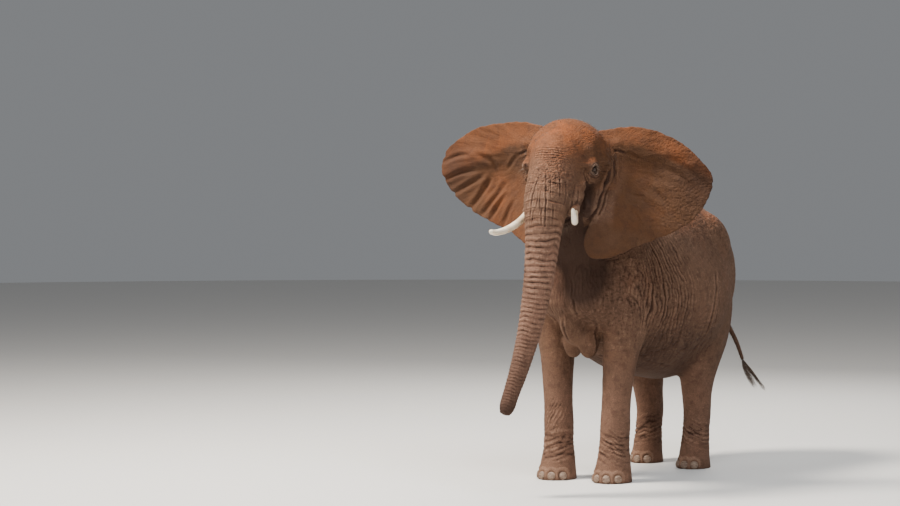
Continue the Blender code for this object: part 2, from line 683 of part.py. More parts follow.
def build_ear(name: str, side: int, body: bpy.types.Object) -> bpy.types.Object:
    """Make one ear as a closed sheet that tapers to its rim, cut off where it meets the head."""
    rim = even_rim(name, EAR_SPACING)
    (inmost, outmost), (lowest, highest) = EAR_SPAN
    columns = np.arange(inmost, outmost, EAR_SPACING)
    rows = np.arange(lowest, highest, EAR_SPACING * math.sqrt(0.75))
    grid = np.array([(a + EAR_SPACING * 0.5 * (k % 2), b) for k, b in enumerate(rows) for a in columns])
    grid = grid[reach_inside(grid, rim) > EAR_SPACING * EAR_CLEARANCE]
    spots = [Vector(point) for point in np.concatenate((rim, grid))]
    ring = list(range(len(rim)))
    spots, _, faces, *_ = delaunay_2d_cdt(spots, [], [ring], 1, 1e-6)

    frame = (HEAD @ Matrix.Diagonal((side, 1, 1, 1)) @ Matrix.Translation((*EAR_ROOT, 0))
             @ Matrix.Rotation(EAR_SWEEP, 4, "Z"))
    bm = bmesh.new()
    sheets = []
    for face in (-1, 1):
        sheet = []
        for a, b in spots:
            near_root = ease(1 - math.hypot(a, 0.6 * b) / EAR_ROOT_REACH)
            half = EAR_HALF_RIM + (EAR_HALF_ROOT - EAR_HALF_RIM) * near_root
            sheet.append(bm.verts.new(frame @ Vector((a, face * half - ear_depth(a, b), b))))
        sheets.append(sheet)
    for sheet in sheets:
        for face in faces:
            bm.faces.new([sheet[k] for k in face])
    for k in ring:
        after = (k + 1) % len(ring)
        bm.faces.new((sheets[0][k], sheets[0][after], sheets[1][after], sheets[1][k]))
    ear = to_object(f"ear_{name}", bm)
    combine(ear, grown_copy(body), "DIFFERENCE")
    keep_largest(ear)
    return ear


def grown_copy(obj: bpy.types.Object) -> bpy.types.Object:
    """Return a copy of an object that is larger all round by the gap between pieces."""
    grown = new_object("grown", obj.data.copy())
    set_points(grown.data, get_points(grown.data) + get_points(grown.data, "normal") * GAP)
    return grown


def keep_largest(obj: bpy.types.Object) -> None:
    """Keep only the loose part of an object that has the most faces."""
    bm = bmesh.new()
    bm.from_mesh(obj.data)
    unseen = set(bm.faces)
    parts = []
    while unseen:
        part, queue = set(), [unseen.pop()]
        while queue:
            face = queue.pop()
            part.add(face)
            for edge in face.edges:
                for other in edge.link_faces:
                    if other in unseen:
                        unseen.discard(other)
                        queue.append(other)
        parts.append(part)
    parts.sort(key=len)
    for part in parts[:-1]:
        bmesh.ops.delete(bm, geom=list(part), context="FACES")
    bm.to_mesh(obj.data)
    bm.free()


def build_loft(name: str, rings, frame: Matrix, side: int, sides: int, per_span: int,
               grow: float = 0.0) -> bpy.types.Object:
    """Make an object from one row of rings."""
    bm = bmesh.new()
    add_loft(bm, rings, frame, side, 0.0, sides, per_span, grow)
    return to_object(name, bm)


def build_tusk(name: str, side: int, head: bpy.types.Object) -> bpy.types.Object:
    """Make one tusk and the socket that it stands in."""
    sides = TUBE_SIDES["slim"]
    combine(head, build_loft("socket", TUSKS[name], HEAD, side, sides, 2, GAP), "DIFFERENCE")
    return build_loft(f"tusk_{name}", TUSKS[name], HEAD, side, sides, 2)


def build_eye(name: str, side: int, head: bpy.types.Object) -> bpy.types.Object:
    """Make one eyeball, the socket that it lies in and the opening between its lids."""
    turn = math.radians(EYE_TURN) * side
    place = HEAD @ Matrix.Translation((side * EYE[0], EYE[1], EYE[2])) @ Matrix.Rotation(turn, 4, "Z")
    opening = Matrix.Translation((0, -EYE_OPENING_AHEAD, 0)) @ Matrix.Diagonal((*EYE_OPENING, 1))
    balls = []
    for label, shape in (
        ("opening", opening),
        ("socket", Matrix.Scale(EYE_RADIUS + GAP, 4)),
        (f"eye_{name}", Matrix.Scale(EYE_RADIUS, 4)),
    ):
        ball = bmesh.new()
        bmesh.ops.create_icosphere(ball, subdivisions=2, radius=1.0, matrix=place @ shape)
        balls.append(to_object(label, ball))
    combine(head, balls[0], "DIFFERENCE")
    combine(head, balls[1], "DIFFERENCE")
    return balls[2]


def build_nails(end: str, name: str, side: int, foot: bpy.types.Object) -> list:
    """Make the toenails across the front of one foot, each in its own pocket."""
    sole = (FORELEG if end == "fore" else HINDLEG)[-2]
    nails = []
    for number, turn in enumerate(NAIL_TURNS[end], start=1):
        angle = math.radians(turn)
        x = sole.x + (sole.side - NAIL_INSET) * math.sin(angle)
        y = sole.y + STEP[end, name] - (sole.under - NAIL_INSET) * math.cos(angle)
        place = Matrix.Translation((side * x, y, NAIL_HEIGHT)) @ Matrix.Rotation(
            side * angle, 4, "Z") @ Matrix.Rotation(math.radians(NAIL_LEAN), 4, "X")
        for label, grow in (("pocket", GAP), (f"toenail_{end}_{name}_{number}", 0.0)):
            bm = bmesh.new()
            size = Matrix.Diagonal((NAIL[1] + grow, NAIL[0] + grow, NAIL[2] + grow, 1))
            around, over = NAIL_SEGMENTS
            bmesh.ops.create_uvsphere(bm, u_segments=around, v_segments=over, radius=1.0, matrix=place @ size)
            nail = to_object(label, bm)
            if label == "pocket":
                combine(foot, nail, "DIFFERENCE")
            else:
                nails.append(nail)
    return nails


def paint(obj: bpy.types.Object, finish: str) -> None:
    """Give an object its own plain material."""
    colour, roughness = COLOURS[finish]
    material = bpy.data.materials.new(obj.name)
    material.use_nodes = True
    shader = material.node_tree.nodes["Principled BSDF"]
    shader.inputs["Base Color"].default_value = (*colour, 1.0)
    shader.inputs["Roughness"].default_value = roughness
    shader.inputs["Metallic"].default_value = 0.0
    obj.data.materials.clear()
    obj.data.materials.append(material)


def settle(objects) -> None:
    """Bring the model to its size, with the origin on the floor below the middle of its bounding box."""
    scale = SHOULDER_HEIGHT / LAYOUT_HEIGHT
    corners = np.concatenate([get_points(obj.data) for obj in objects]) * scale
    middle = (corners.min(axis=0) + corners.max(axis=0)) / 2
    middle[2] = corners[:, 2].min()
    for obj in objects:
        set_points(obj.data, get_points(obj.data) * scale - middle)
        obj.data.shade_smooth()
        obj.data.set_sharp_from_angle(angle=SHARP_ANGLE)


def main() -> None:
    """Build every piece of the elephant."""
    clear_scene()
    flesh = build_flesh()
    ears = [build_ear(name, side, flesh) for name, side in SIDES.items()]
    tail = build_loft("tail", TAIL, BODY, 1, TUBE_SIDES["slim"], 2)
    combine(tail, grown_copy(flesh), "DIFFERENCE")
    keep_largest(tail)
    tuft, lock = (build_loft("tail_tuft", rings, BODY, 1, TUBE_SIDES["lock"], 1) for rings in TUFT_LOCKS)
    combine(tuft, lock, "UNION")
    combine(tuft, grown_copy(tail), "DIFFERENCE")

    pieces = part_flesh(flesh)
    eyes = [build_eye(name, side, pieces["head"]) for name, side in SIDES.items()]
    tusks = [build_tusk(name, side, pieces["head"]) for name, side in SIDES.items()]
    nails = []
    for name, side in SIDES.items():
        for end in ("fore", "hind"):
            nails += build_nails(end, name, side, pieces[f"{end}foot_{name}"])

    finishes = [(list(pieces.values()), "skin"), (ears, "pale"), ([tail], "dark"), ([tuft], "hair"),
                (eyes, "eye"), (tusks, "ivory"), (nails, "nail")]
    for objects, finish in finishes:
        for obj in objects:
            paint(obj, finish)
    settle([obj for objects, _ in finishes for obj in objects])


main()
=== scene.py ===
"""The looks of a standing African savanna elephant cow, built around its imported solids.

One skin is fused from rounded forms, thinned at the ears, refined where it is looked at closely, and
carved with folds, rings and wrinkles. Eyes, tusks, toenails and hairs are pieces of their own.

Forms are laid out from a point on the floor between the fore feet, and the head's forms from the point
midway between the eyes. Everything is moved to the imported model's place at the end. Tables that pass through
mm, sized or folds are in millimetres, and all other lengths are in metres.
"""

import itertools
import json
import logging
import math
from dataclasses import dataclass
from enum import Enum
from typing import Callable, Iterable, NamedTuple, Sequence

import bmesh
import bpy
import numpy as np
from bmesh.types import BMesh
from bpy.types import Material, Mesh, Node, NodeInputs, NodeSocket, NodeTree, Object
from mathutils import Matrix, Vector
from mathutils.bvhtree import BVHTree
from mathutils.geometry import delaunay_2d_cdt

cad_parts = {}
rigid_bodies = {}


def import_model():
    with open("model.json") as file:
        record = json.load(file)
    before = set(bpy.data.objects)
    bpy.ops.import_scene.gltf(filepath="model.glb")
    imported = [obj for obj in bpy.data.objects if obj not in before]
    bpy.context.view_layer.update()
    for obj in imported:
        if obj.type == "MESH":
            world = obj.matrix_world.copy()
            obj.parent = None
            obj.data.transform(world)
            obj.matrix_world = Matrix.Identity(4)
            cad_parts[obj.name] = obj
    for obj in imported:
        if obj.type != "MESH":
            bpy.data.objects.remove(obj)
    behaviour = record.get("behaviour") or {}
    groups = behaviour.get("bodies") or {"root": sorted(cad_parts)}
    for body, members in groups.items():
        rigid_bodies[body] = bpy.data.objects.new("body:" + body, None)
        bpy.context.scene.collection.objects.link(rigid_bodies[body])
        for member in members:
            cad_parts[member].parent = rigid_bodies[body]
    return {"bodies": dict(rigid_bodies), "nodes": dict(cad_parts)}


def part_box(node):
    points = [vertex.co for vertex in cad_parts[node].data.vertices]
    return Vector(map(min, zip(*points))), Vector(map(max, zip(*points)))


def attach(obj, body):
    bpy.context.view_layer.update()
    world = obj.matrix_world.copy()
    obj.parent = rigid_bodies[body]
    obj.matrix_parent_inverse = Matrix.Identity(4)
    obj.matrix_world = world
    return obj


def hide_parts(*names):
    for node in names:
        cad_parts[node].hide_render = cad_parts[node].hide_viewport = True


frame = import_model()

Array = np.ndarray
LOG = logging.getLogger("elephant")
BODY = Matrix.Identity(4)
HEAD = Matrix.Translation((0.16, -0.62, 2.56)) @ Matrix.Rotation(math.radians(13.0), 4, "Z")


class Side(Enum):
    """The two sides of the cow, with the sign of their X."""

    LEFT = 1
    RIGHT = -1

    @property
    def label(self) -> str:
        """Return the side's name in node names."""
        return self.name.lower()


class End(Enum):
    """The two pairs of legs."""

    FORE = "fore"
    HIND = "hind"


class Ring(NamedTuple):
    """One cross-section of a lofted form, square to the path through the rings' centres.

    side is the half-width. over and under are the half-depths to either side of it: up and down on a form
    laid from front to back, rear and front on a form laid downwards.
    """

    x: float
    y: float
    z: float
    side: float
    over: float
    under: float


class Blob(NamedTuple):
    """An ellipsoid of flesh with its half-widths. One that is off the middle has a twin on the other side."""

    x: float
    y: float
    z: float
    rx: float
    ry: float
    rz: float


class Dent(NamedTuple):
    """A round hollow pressed into the skin, or a swelling where depth is negative."""

    x: float
    y: float
    z: float
    radius: float
    depth: float


class Fold(NamedTuple):
    """A groove in the skin along a smooth line, with skin raised beside it by lip times its depth."""

    line: tuple
    width: float
    depth: float
    lip: float = 0.4


def mm(value: float | tuple) -> float | tuple:
    """Return a length in millimetres, or a nest of them, in metres."""
    return tuple(mm(part) for part in value) if isinstance(value, tuple) else value / 1000


def sized(kind: type, *rows: tuple) -> tuple:
    """Return the rings, blobs or dents that rows of millimetres stand for."""
    return tuple(kind(*mm(row)) for row in rows)


def folds(*rows: tuple) -> tuple:
    """Return the folds of rows of line, width and depth in millimetres, and lip."""
    return tuple(Fold(mm(line), mm(width), mm(depth), *lip) for line, width, depth, *lip in rows)


# ------------ numbers and meshes


def ease(t: Array) -> Array:
    """Return 0 below 0, 1 above 1 and a smooth rise between."""
    t = np.clip(t, 0.0, 1.0)
    return t * t * (3 - 2 * t)


def joined(*parts: Array) -> Array:
    """Return arrays side by side, as the columns of one."""
    return np.column_stack(parts)


def reach_from(points: Array, centre: Sequence[float], size: float | Sequence[float] = 1.0) -> Array:
    """Return how far each point lies from a centre, in units of a size or of one for each axis."""
    return np.linalg.norm((points - np.array(centre)) / np.array(size), axis=1)


def walked_along(path: Array) -> Array:
    """Return how far along a path each of its points lies."""
    return np.concatenate(([0.0], np.cumsum(np.linalg.norm(np.diff(path, axis=0), axis=1))))


def bump(distance: Array) -> Array:
    """Return a smooth hump that is 1 at 0 and fades out by about 2."""
    return np.exp(-(distance**2))


def blot(points: Array, centre: Sequence[float], size: float | Sequence[float], power: int = 1) -> Array:
    """Return a weight that is 1 at a centre and fades out round it, with a harder edge at a power of 2."""
    return bump(reach_from(points, centre, size) ** power)


def smooth_rows(rows: Sequence, per_span: int) -> Array:
    """Return rows of numbers threaded by a smooth curve.

    Args:
        rows: the given rows, whose first three columns are places.
        per_span: how many rows there are for each gap between given ones.

    Returns:
        The threaded rows.
    """
    rows = np.array(rows, dtype=float)
    places = rows[:, : min(3, rows.shape[1])]
    chords = np.linalg.norm(np.diff(places, axis=0), axis=1)
    knots = np.concatenate(([0.0], np.cumsum(chords)))
    slopes = np.gradient(rows, knots, axis=0)
    threaded = []
    for i, span in enumerate(chords):
        for t in np.arange(per_span) / per_span:
            start = (1 + 2 * t) * (1 - t) ** 2 * rows[i] + t * (1 - t) ** 2 * span * slopes[i]
            end = t * t * (3 - 2 * t) * rows[i + 1] - t * t * (1 - t) * span * slopes[i + 1]
            threaded.append(start + end)
    threaded.append(rows[-1])
    return np.array(threaded)


class Grain:
    """Smooth gradient noise over rows of coordinates, the same in every run."""

    def __init__(self, seed: int) -> None:
        """Draw the table of directions for a seed."""
        draw = np.random.default_rng(seed)
        directions = draw.normal(size=(256, 3))
        self.directions = directions / np.linalg.norm(directions, axis=1)[:, None]
        self.order = draw.permutation(256)

    def __call__(self, coords: Array) -> Array:
        """Return the noise, about -1 to 1, at each row of three coordinates."""
        cells = np.floor(coords).astype(np.int64)
        local = coords - cells
        fade = local**3 * (local * (local * 6 - 15) + 10)
        total = np.zeros(len(coords))
        for corner in itertools.product((0, 1), repeat=3):
            key = (cells + corner) & 255
            key = self.order[(self.order[(self.order[key[:, 0]] + key[:, 1]) & 255] + key[:, 2]) & 255]
            value = np.einsum("ij,ij->i", local - corner, self.directions[key])
            weight = np.prod(np.where(corner, fade, 1 - fade), axis=1)
            total += value * weight
        return total * 1.6


def new_object(name: str, mesh: Mesh) -> Object:
    """Link a new object for a mesh into the scene."""
    obj = bpy.data.objects.new(name, mesh)
    bpy.context.scene.collection.objects.link(obj)
    return obj


def to_object(name: str, bm: BMesh) -> Object:
    """Turn a bmesh into a smooth object whose faces point out."""
    bmesh.ops.recalc_face_normals(bm, faces=bm.faces)
    mesh = bpy.data.meshes.new(name)
    bm.to_mesh(mesh)
    bm.free()
    mesh.shade_smooth()
    return new_object(name, mesh)


def evaluated(obj: Object) -> None:
    """Fix an object's modifiers in its mesh."""
    mesh = bpy.data.meshes.new_from_object(obj.evaluated_get(bpy.context.evaluated_depsgraph_get()))
    obj.modifiers.clear()
    old = obj.data
    obj.data = mesh
    bpy.data.meshes.remove(old)


def get_points(mesh: Mesh, name: str = "co") -> Array:
    """Return a mesh's vertex places, or its normals, as rows of three."""
    values = np.empty(len(mesh.vertices) * 3, dtype=np.float32)
    mesh.vertices.foreach_get(name, values)
    return values.reshape(-1, 3).astype(float)


def set_points(mesh: Mesh, points: Array) -> None:
    """Write vertex places back to a mesh."""
    mesh.vertices.foreach_set("co", points.astype(np.float32).ravel())
    mesh.update()


def to_frame(points: Array, place: Matrix) -> Array:
    """Return world points in a frame's own coordinates."""
    inverse = np.array(place.inverted())
    return points @ inverse[:3, :3].T + inverse[:3, 3]


def from_frame(points: Array, place: Matrix) -> Array:
    """Return a frame's own points in world coordinates."""
    matrix = np.array(place)
    return points @ matrix[:3, :3].T + matrix[:3, 3]


def both_sides(place: Sequence[float]) -> tuple:
    """Return a place, and its mirror where it stands off the middle."""
    x, y, z = place
    return ((x, y, z), (-x, y, z)) if x else ((x, y, z),)


def close_tube(bm: BMesh, loops: list) -> None:
    """Join a row of loops of vertices with quads, and cap both ends."""
    for one, two in zip(loops, loops[1:]):
        for turn, corner in enumerate(one):
            after = (turn + 1) % len(one)
            bm.faces.new((corner, one[after], two[after], two[turn]))
    bm.faces.new(loops[0])
    bm.faces.new(loops[-1])


def add_loft(bm: BMesh, rings: Sequence[Ring], place: Matrix, side: int = 1,
             step: float = 0.0, sides: int = 28, per_span: int = 4) -> None:
    """Skin a row of rings with a closed tube.

    Args:
        bm: the mesh that the tube is added to.
        rings: the cross-sections.
        place: the frame that they are laid out in.
        side: -1 mirrors the tube.
        step: how far the tube is moved back.
        sides: corners of each loop.
        per_span: loops for each gap between rings.
    """
    rows = smooth_rows(rings, per_span)
    rows[:, 3:] = np.maximum(rows[:, 3:], 0.002)
    paths = np.gradient(rows[:, :3], axis=0)
    loops = []
    for row, path in zip(rows, paths):
        centre = Vector(row[:3])
        path = Vector(path).normalized()
        across = (Vector((1, 0, 0)) - path * path.x).normalized()
        over = across.cross(path)
        loop = []
        for turn in range(sides):
            angle = math.tau * turn / sides
            reach = row[4] if math.sin(angle) > 0 else row[5]
            point = centre + across * (row[3] * math.cos(angle)) + over * (reach * math.sin(angle))
            loop.append(bm.verts.new(place @ Vector((side * point.x, point.y + step, point.z))))
        loops.append(loop)
    close_tube(bm, loops)


def add_blob(bm: BMesh, blob: Blob, place: Matrix) -> None:
    """Add an ellipsoid, and its twin on the other side when it stands off the middle."""
    for middle in both_sides(blob[:3]):
        size = Matrix.Diagonal((blob.rx, blob.ry, blob.rz, 1.0))
        matrix = place @ Matrix.Translation(middle) @ size
        bmesh.ops.create_uvsphere(bm, u_segments=32, v_segments=20, radius=1.0, matrix=matrix)


# ------------ forms of the flesh


@dataclass(frozen=True)
class BodyForms:
    """The torso, neck and legs as lofted forms, with the muscles laid on them."""

    torso: tuple = sized(
        Ring, (0, -400, 1500, 110, 340, 50), (0, -360, 1500, 190, 470, 90), (0, -260, 1500, 300, 630, 150),
        (0, -100, 1500, 410, 810, 240), (0, 140, 1500, 510, 910, 420), (0, 500, 1500, 580, 840, 620),
        (0, 900, 1500, 620, 840, 710), (0, 1200, 1500, 600, 870, 730), (0, 1440, 1500, 540, 850, 630),
        (0, 1640, 1500, 450, 760, 460), (0, 1800, 1500, 340, 640, 320), (0, 1910, 1500, 200, 460, 180),
        (0, 1950, 1500, 80, 300, 60),
    )
    neck: tuple = sized(
        Ring,
        (120, -480, 2500, 230, 220, 240), (105, -380, 2420, 275, 290, 270), (80, -270, 2280, 310, 330, 300),
        (50, -140, 2140, 340, 370, 410), (20, 20, 2000, 380, 420, 500), (0, 200, 1860, 400, 460, 500),
    )
    foreleg: tuple = sized(
        Ring, (270, 60, 2020, 100, 200, 200), (320, 60, 1740, 160, 270, 250), (325, 50, 1460, 170, 270, 245),
        (305, 30, 1200, 155, 230, 180), (285, 15, 1000, 138, 165, 145), (272, 5, 800, 124, 134, 132),
        (262, 0, 620, 118, 126, 128), (256, 0, 460, 122, 130, 138), (252, -5, 300, 122, 130, 140),
        (250, -10, 180, 134, 142, 156), (250, -20, 90, 147, 156, 175), (250, -25, 20, 155, 165, 188),
        (250, -25, -80, 155, 165, 188),
    )
    hindleg: tuple = sized(
        Ring,
        (220, 1440, 2060, 120, 260, 260), (300, 1460, 1760, 190, 320, 340), (325, 1460, 1460, 200, 330, 360),
        (330, 1420, 1180, 186, 315, 310), (315, 1385, 960, 162, 255, 245), (297, 1375, 780, 140, 190, 180),
        (287, 1385, 620, 122, 150, 138), (280, 1400, 460, 114, 142, 126), (280, 1385, 300, 114, 128, 128),
        (280, 1375, 180, 122, 134, 144), (280, 1365, 90, 128, 142, 162), (280, 1360, 20, 138, 152, 178),
        (280, 1360, -80, 138, 152, 178),
    )
    blobs: tuple = sized(
        Blob,
        (330, 90, 1780, 190, 280, 440),  # shoulder blade
        (130, -150, 1570, 130, 150, 170),  # breast muscle
        (74, -70, 1172, 76, 118, 165),  # breast
        (0, -130, 1360, 115, 220, 240),  # keel of the chest
        (270, 1380, 1860, 250, 360, 360),  # hip
        (240, 1600, 1660, 220, 280, 440),  # rump
        (0, 1800, 1960, 130, 130, 140),  # root of the tail
        (0, 1560, 1100, 100, 160, 240),  # between the thighs
    )
    dents: tuple = sized(
        Dent,
        (460, 1030, 1020, 240, 26),  # flank, ahead of the thigh
        (500, 1020, 1950, 340, 20),  # loin
    )
    # Places where forms run into each other and the skin is drawn smooth: centre, reach and strength
    soft: tuple = (
        (0.38, 0.08, 1.52, 0.42, 1.0),
        (0.0, -0.25, 1.75, 0.55, 1.0),
        (0.32, 1.42, 1.3, 0.6, 1.0),
        (0.0, 0.05, 2.25, 0.55, 1.0),
        (0.0, 1.55, 1.9, 0.85, 1.0),
        (0.45, 0.75, 1.5, 0.9, 1.0),
        (0.08, -0.2, 1.28, 0.15, 0.6),
        (0.2, -0.27, 1.42, 0.24, 1.0),
    )

    def leg(self, end: End) -> tuple:
        """Return a leg's rings."""
        return self.foreleg if end is End.FORE else self.hindleg

    @staticmethod
    def step(end: End, side: Side) -> float:
        """Return how far a leg stands behind its rings' place."""
        steps = {(End.FORE, Side.LEFT): 0.055, (End.FORE, Side.RIGHT): -0.012,
                 (End.HIND, Side.LEFT): -0.07, (End.HIND, Side.RIGHT): 0.07}
        return steps[end, side]

    def add_to(self, bm: BMesh) -> None:
        """Add all the body's forms to a mesh."""
        add_loft(bm, self.torso, BODY, sides=40)
        add_loft(bm, self.neck, BODY, sides=40)
        for side, end in itertools.product(Side, End):
            add_loft(bm, self.leg(end), BODY, side.value, self.step(end, side))
        for blob in self.blobs:
            add_blob(bm, blob, BODY)


@dataclass(frozen=True)
class HeadForms:
    """The skull, trunk, jaw and tusk sheaths as forms in the head's frame."""

    trunk: tuple = sized(
        Ring, (0, 20, 220, 170, 160, 190), (0, -70, 60, 200, 200, 245), (0, -190, -110, 200, 200, 225),
        (0, -320, -280, 180, 180, 185), (6, -390, -450, 150, 150, 155), (6, -430, -620, 134, 132, 136),
        (-8, -460, -850, 121, 118, 121), (-33, -480, -1045, 109, 107, 109), (-66, -500, -1240, 97, 95, 97),
        (-105, -530, -1430, 85, 83, 84), (-150, -570, -1625, 74, 70, 73), (-187, -610, -1770, 66, 62, 65),
        (-205, -650, -1875, 61, 48, 54), (-212, -665, -1915, 42, 32, 38),
    )
    sheath: tuple = sized(
        Ring, (130, 20, 20, 80, 90, 90), (145, -80, -120, 90, 95, 90), (160, -170, -240, 80, 85, 80),
        (178, -225, -325, 60, 62, 58), (186, -250, -360, 40, 40, 40),
    )
    jaw: tuple = sized(
        Ring, (0, -195, -480, 18, 18, 22), (0, -155, -450, 48, 44, 46), (0, -80, -410, 84, 80, 74),
        (0, 40, -355, 128, 120, 120), (0, 170, -290, 170, 140, 165), (0, 270, -200, 150, 140, 170),
    )
    blobs: tuple = sized(
        Blob,
        (0, 170, 85, 342, 335, 331),  # cranium
        (0, -50, 50, 235, 240, 270),  # forehead
        (245, -20, 50, 75, 100, 70),  # brow
        (245, 50, -65, 72, 140, 62),  # cheekbone
        (185, 160, -170, 120, 160, 245),  # chewing muscle
        (285, 270, 30, 85, 110, 235),  # root of the ear
        (0, -60, -260, 135, 130, 110),  # palate
        (0, 360, -20, 300, 240, 300),  # nape
    )
    dents: tuple = sized(
        Dent,
        (325, 90, 135, 130, 24),  # temple
        (240, 10, -180, 100, 36),  # between sheath and chewing muscle
    )
    soft: tuple = (
        (0.0, -0.1, 0.15, 0.34, 0.4),
        (0.2, 0.3, 0.2, 0.3, 0.5),
        (0.0, 0.45, -0.1, 0.38, 1.0),
    )

    def add_to(self, bm: BMesh) -> None:
        """Add all the head's forms to a mesh."""
        add_loft(bm, self.trunk, HEAD)
        add_loft(bm, self.jaw, HEAD)
        for side in Side:
            add_loft(bm, self.sheath, HEAD, side.value)
        for blob in self.blobs:
            add_blob(bm, blob, HEAD)


@dataclass(frozen=True)
class Ear:
    """One ear: a sheet in a plane through its root, a outwards and b upwards from the level of the eyes."""

    side: Side
    rim: tuple
    notches: tuple  # places on the rim where it is torn or folded in: a, b, reach, depth
    folds: tuple  # valleys folded into the sheet: lines of (a, b), width, depth
    root: tuple = (0.3, 0.255)
    sweep: float = 9.0
    half_root: float = 0.024
    half_rim: float = 0.0075
    half_least: float = 0.0135  # the least that the sheet is before it is thinned
    fade: float = 0.55
    rim_spacing: float = 0.012
    spacing: float = 0.03
    shrinking: float = 0.0035  # what fusing the skin takes off the rim
    hinge: float = 0.1  # how far in from the frame's origin, and above it, the folds spread from

    @property
    def place(self) -> Matrix:
        """Return the frame of the ear's plane."""
        mirror = Matrix.Diagonal((self.side.value, 1, 1, 1))
        turn = Matrix.Rotation(math.radians(self.sweep), 4, "Z")
        return HEAD @ mirror @ Matrix.Translation((*self.root, 0)) @ turn

    def depth(self, a: Array, b: Array) -> Array:
        """Return how far forward of its plane the ear's sheet lies."""
        ridge = 0.03 * bump((b - 0.2 + 0.25 * a * a) / 0.1)
        dish = -0.045 * np.exp(-(((a - 0.4) / 0.3) ** 2) - ((b + 0.05) / 0.28) ** 2)
        lobe = 0.2 * ease((-b - 0.12) / 0.55) * ease((0.42 - a) / 0.55)
        tip = -0.05 * ease((a - 0.45) / 0.45)
        return ridge + dish + lobe + tip

    def half(self, a: Array, b: Array) -> Array:
        """Return half the sheet's thickness."""
        near_root = ease((self.fade - np.hypot(a, 0.6 * b)) / self.fade)
        return self.half_rim + (self.half_root - self.half_rim) * near_root

    def outline(self) -> Array:
        """Return the rim as close points, with its ragged edge and notches."""
        rim = smooth_rows(self.rim, 12)
        walked = walked_along(rim)
        stops = np.linspace(0.0, walked[-1], round(walked[-1] / self.rim_spacing) + 1)
        rim = np.column_stack([np.interp(stops, walked, rim[:, k]) for k in (0, 1)])
        along = np.gradient(rim, axis=0)
        inward = joined(along[:, 1], -along[:, 0]) / np.linalg.norm(along, axis=1)[:, None]
        waves = Grain(31)(joined(stops / 0.055, stops * 0, stops * 0 + 0.5))
        frays = Grain(32)(joined(stops / 0.018, stops * 0, stops * 0 + 0.5))
        inset = 0.006 * waves + 0.0025 * frays - self.shrinking
        inset[rim[:, 0] < 0.05] = -self.shrinking
        for a, b, reach, depth in self.notches:
            inset += depth * bump(np.hypot(rim[:, 0] - a, rim[:, 1] - b) / reach)
        return rim + inward * inset[:, None]

    def add_to(self, bm: BMesh) -> None:
        """Add the ear to a mesh as a closed sheet, thick enough to be fused."""
        rim = self.outline()
        columns = np.arange(-0.3, 1.05, self.spacing)
        rows = np.arange(-0.8, 0.5, self.spacing * math.sqrt(0.75))
        grid = np.array([(a + self.spacing * 0.5 * (k % 2), b) for k, b in enumerate(rows) for a in columns])
        grid = grid[reach_inside(grid, rim) > self.spacing * 0.55]
        spots = [Vector(point) for point in np.concatenate((rim, grid))]
        ring = list(range(len(rim)))
        spots, _, faces, *_ = delaunay_2d_cdt(spots, [], [ring], 1, 1e-6)
        a, b = np.array(spots).T
        half = np.maximum(self.half(a, b), self.half_least)
        depth = self.depth(a, b)
        sheets = []
        for face in (-1, 1):
            places = from_frame(joined(a, face * half - depth, b), self.place)
            sheets.append([bm.verts.new(place) for place in places])
            for corners in faces:
                bm.faces.new([sheets[-1][k] for k in corners])
        for k in ring:
            after = (k + 1) % len(ring)
            bm.faces.new((sheets[0][k], sheets[0][after], sheets[1][after], sheets[1][k]))

    def fan(self, a: Array, b: Array) -> tuple:
        """Return each point's turn and reach about the place that the sheet's folds spread from."""
        return np.arctan2(b - self.hinge, a + self.hinge), np.hypot(b - self.hinge, a + self.hinge)

    def waves(self, a: Array, b: Array) -> Array:
        """Return how far the sheet is folded forward of its smooth form."""
        turn, reach = self.fan(a, b)
        zero = turn * 0 + self.side.value
        broad = Grain(41)(joined(turn * 3.2, reach * 2.5, zero))
        ribs = Grain(42)(joined(turn * 9.0, reach * 3.5, zero))
        fine = Grain(43)(joined(turn * 24.0, reach * 6.0, zero))
        out = ease((reach - 0.22) / 0.35)
        folded = out * (0.016 * broad + 0.007 * ribs + 0.0014 * fine)
        for line, width, depth in self.folds:
            spots = smooth_rows(line, 8)
            away = np.linalg.norm(joined(a, b)[:, None] - spots[None], axis=2)
            near = away.argmin(axis=1)
            fading = np.sqrt(np.sin(np.clip((near + 0.5) / len(spots), 0, 1) * math.pi))
            away = away.min(axis=1)
            folded += fading * depth * (0.45 * bump((away - 1.7 * width) / width) - bump(away / width))
        return folded


def reach_inside(points: Array, outline: Array) -> Array:
    """Return how far inside a closed outline each point lies, negative outside."""
    reach = np.full(len(points), np.inf)
    inside = np.zeros(len(points), dtype=bool)
    for start, end in zip(outline, np.roll(outline, -1, axis=0)):
        along = end - start
        share = np.clip((points - start) @ along / (along @ along), 0, 1)
        reach = np.minimum(reach, np.linalg.norm(points - start - share[:, None] * along, axis=1))
        if start[1] != end[1]:
            crossing = start[0] + (points[:, 1] - start[1]) / (end[1] - start[1]) * (end[0] - start[0])
            between = (points[:, 1] > min(start[1], end[1])) & (points[:, 1] <= max(start[1], end[1]))
            inside ^= between & (points[:, 0] < crossing)
    return np.where(inside, reach, -reach)


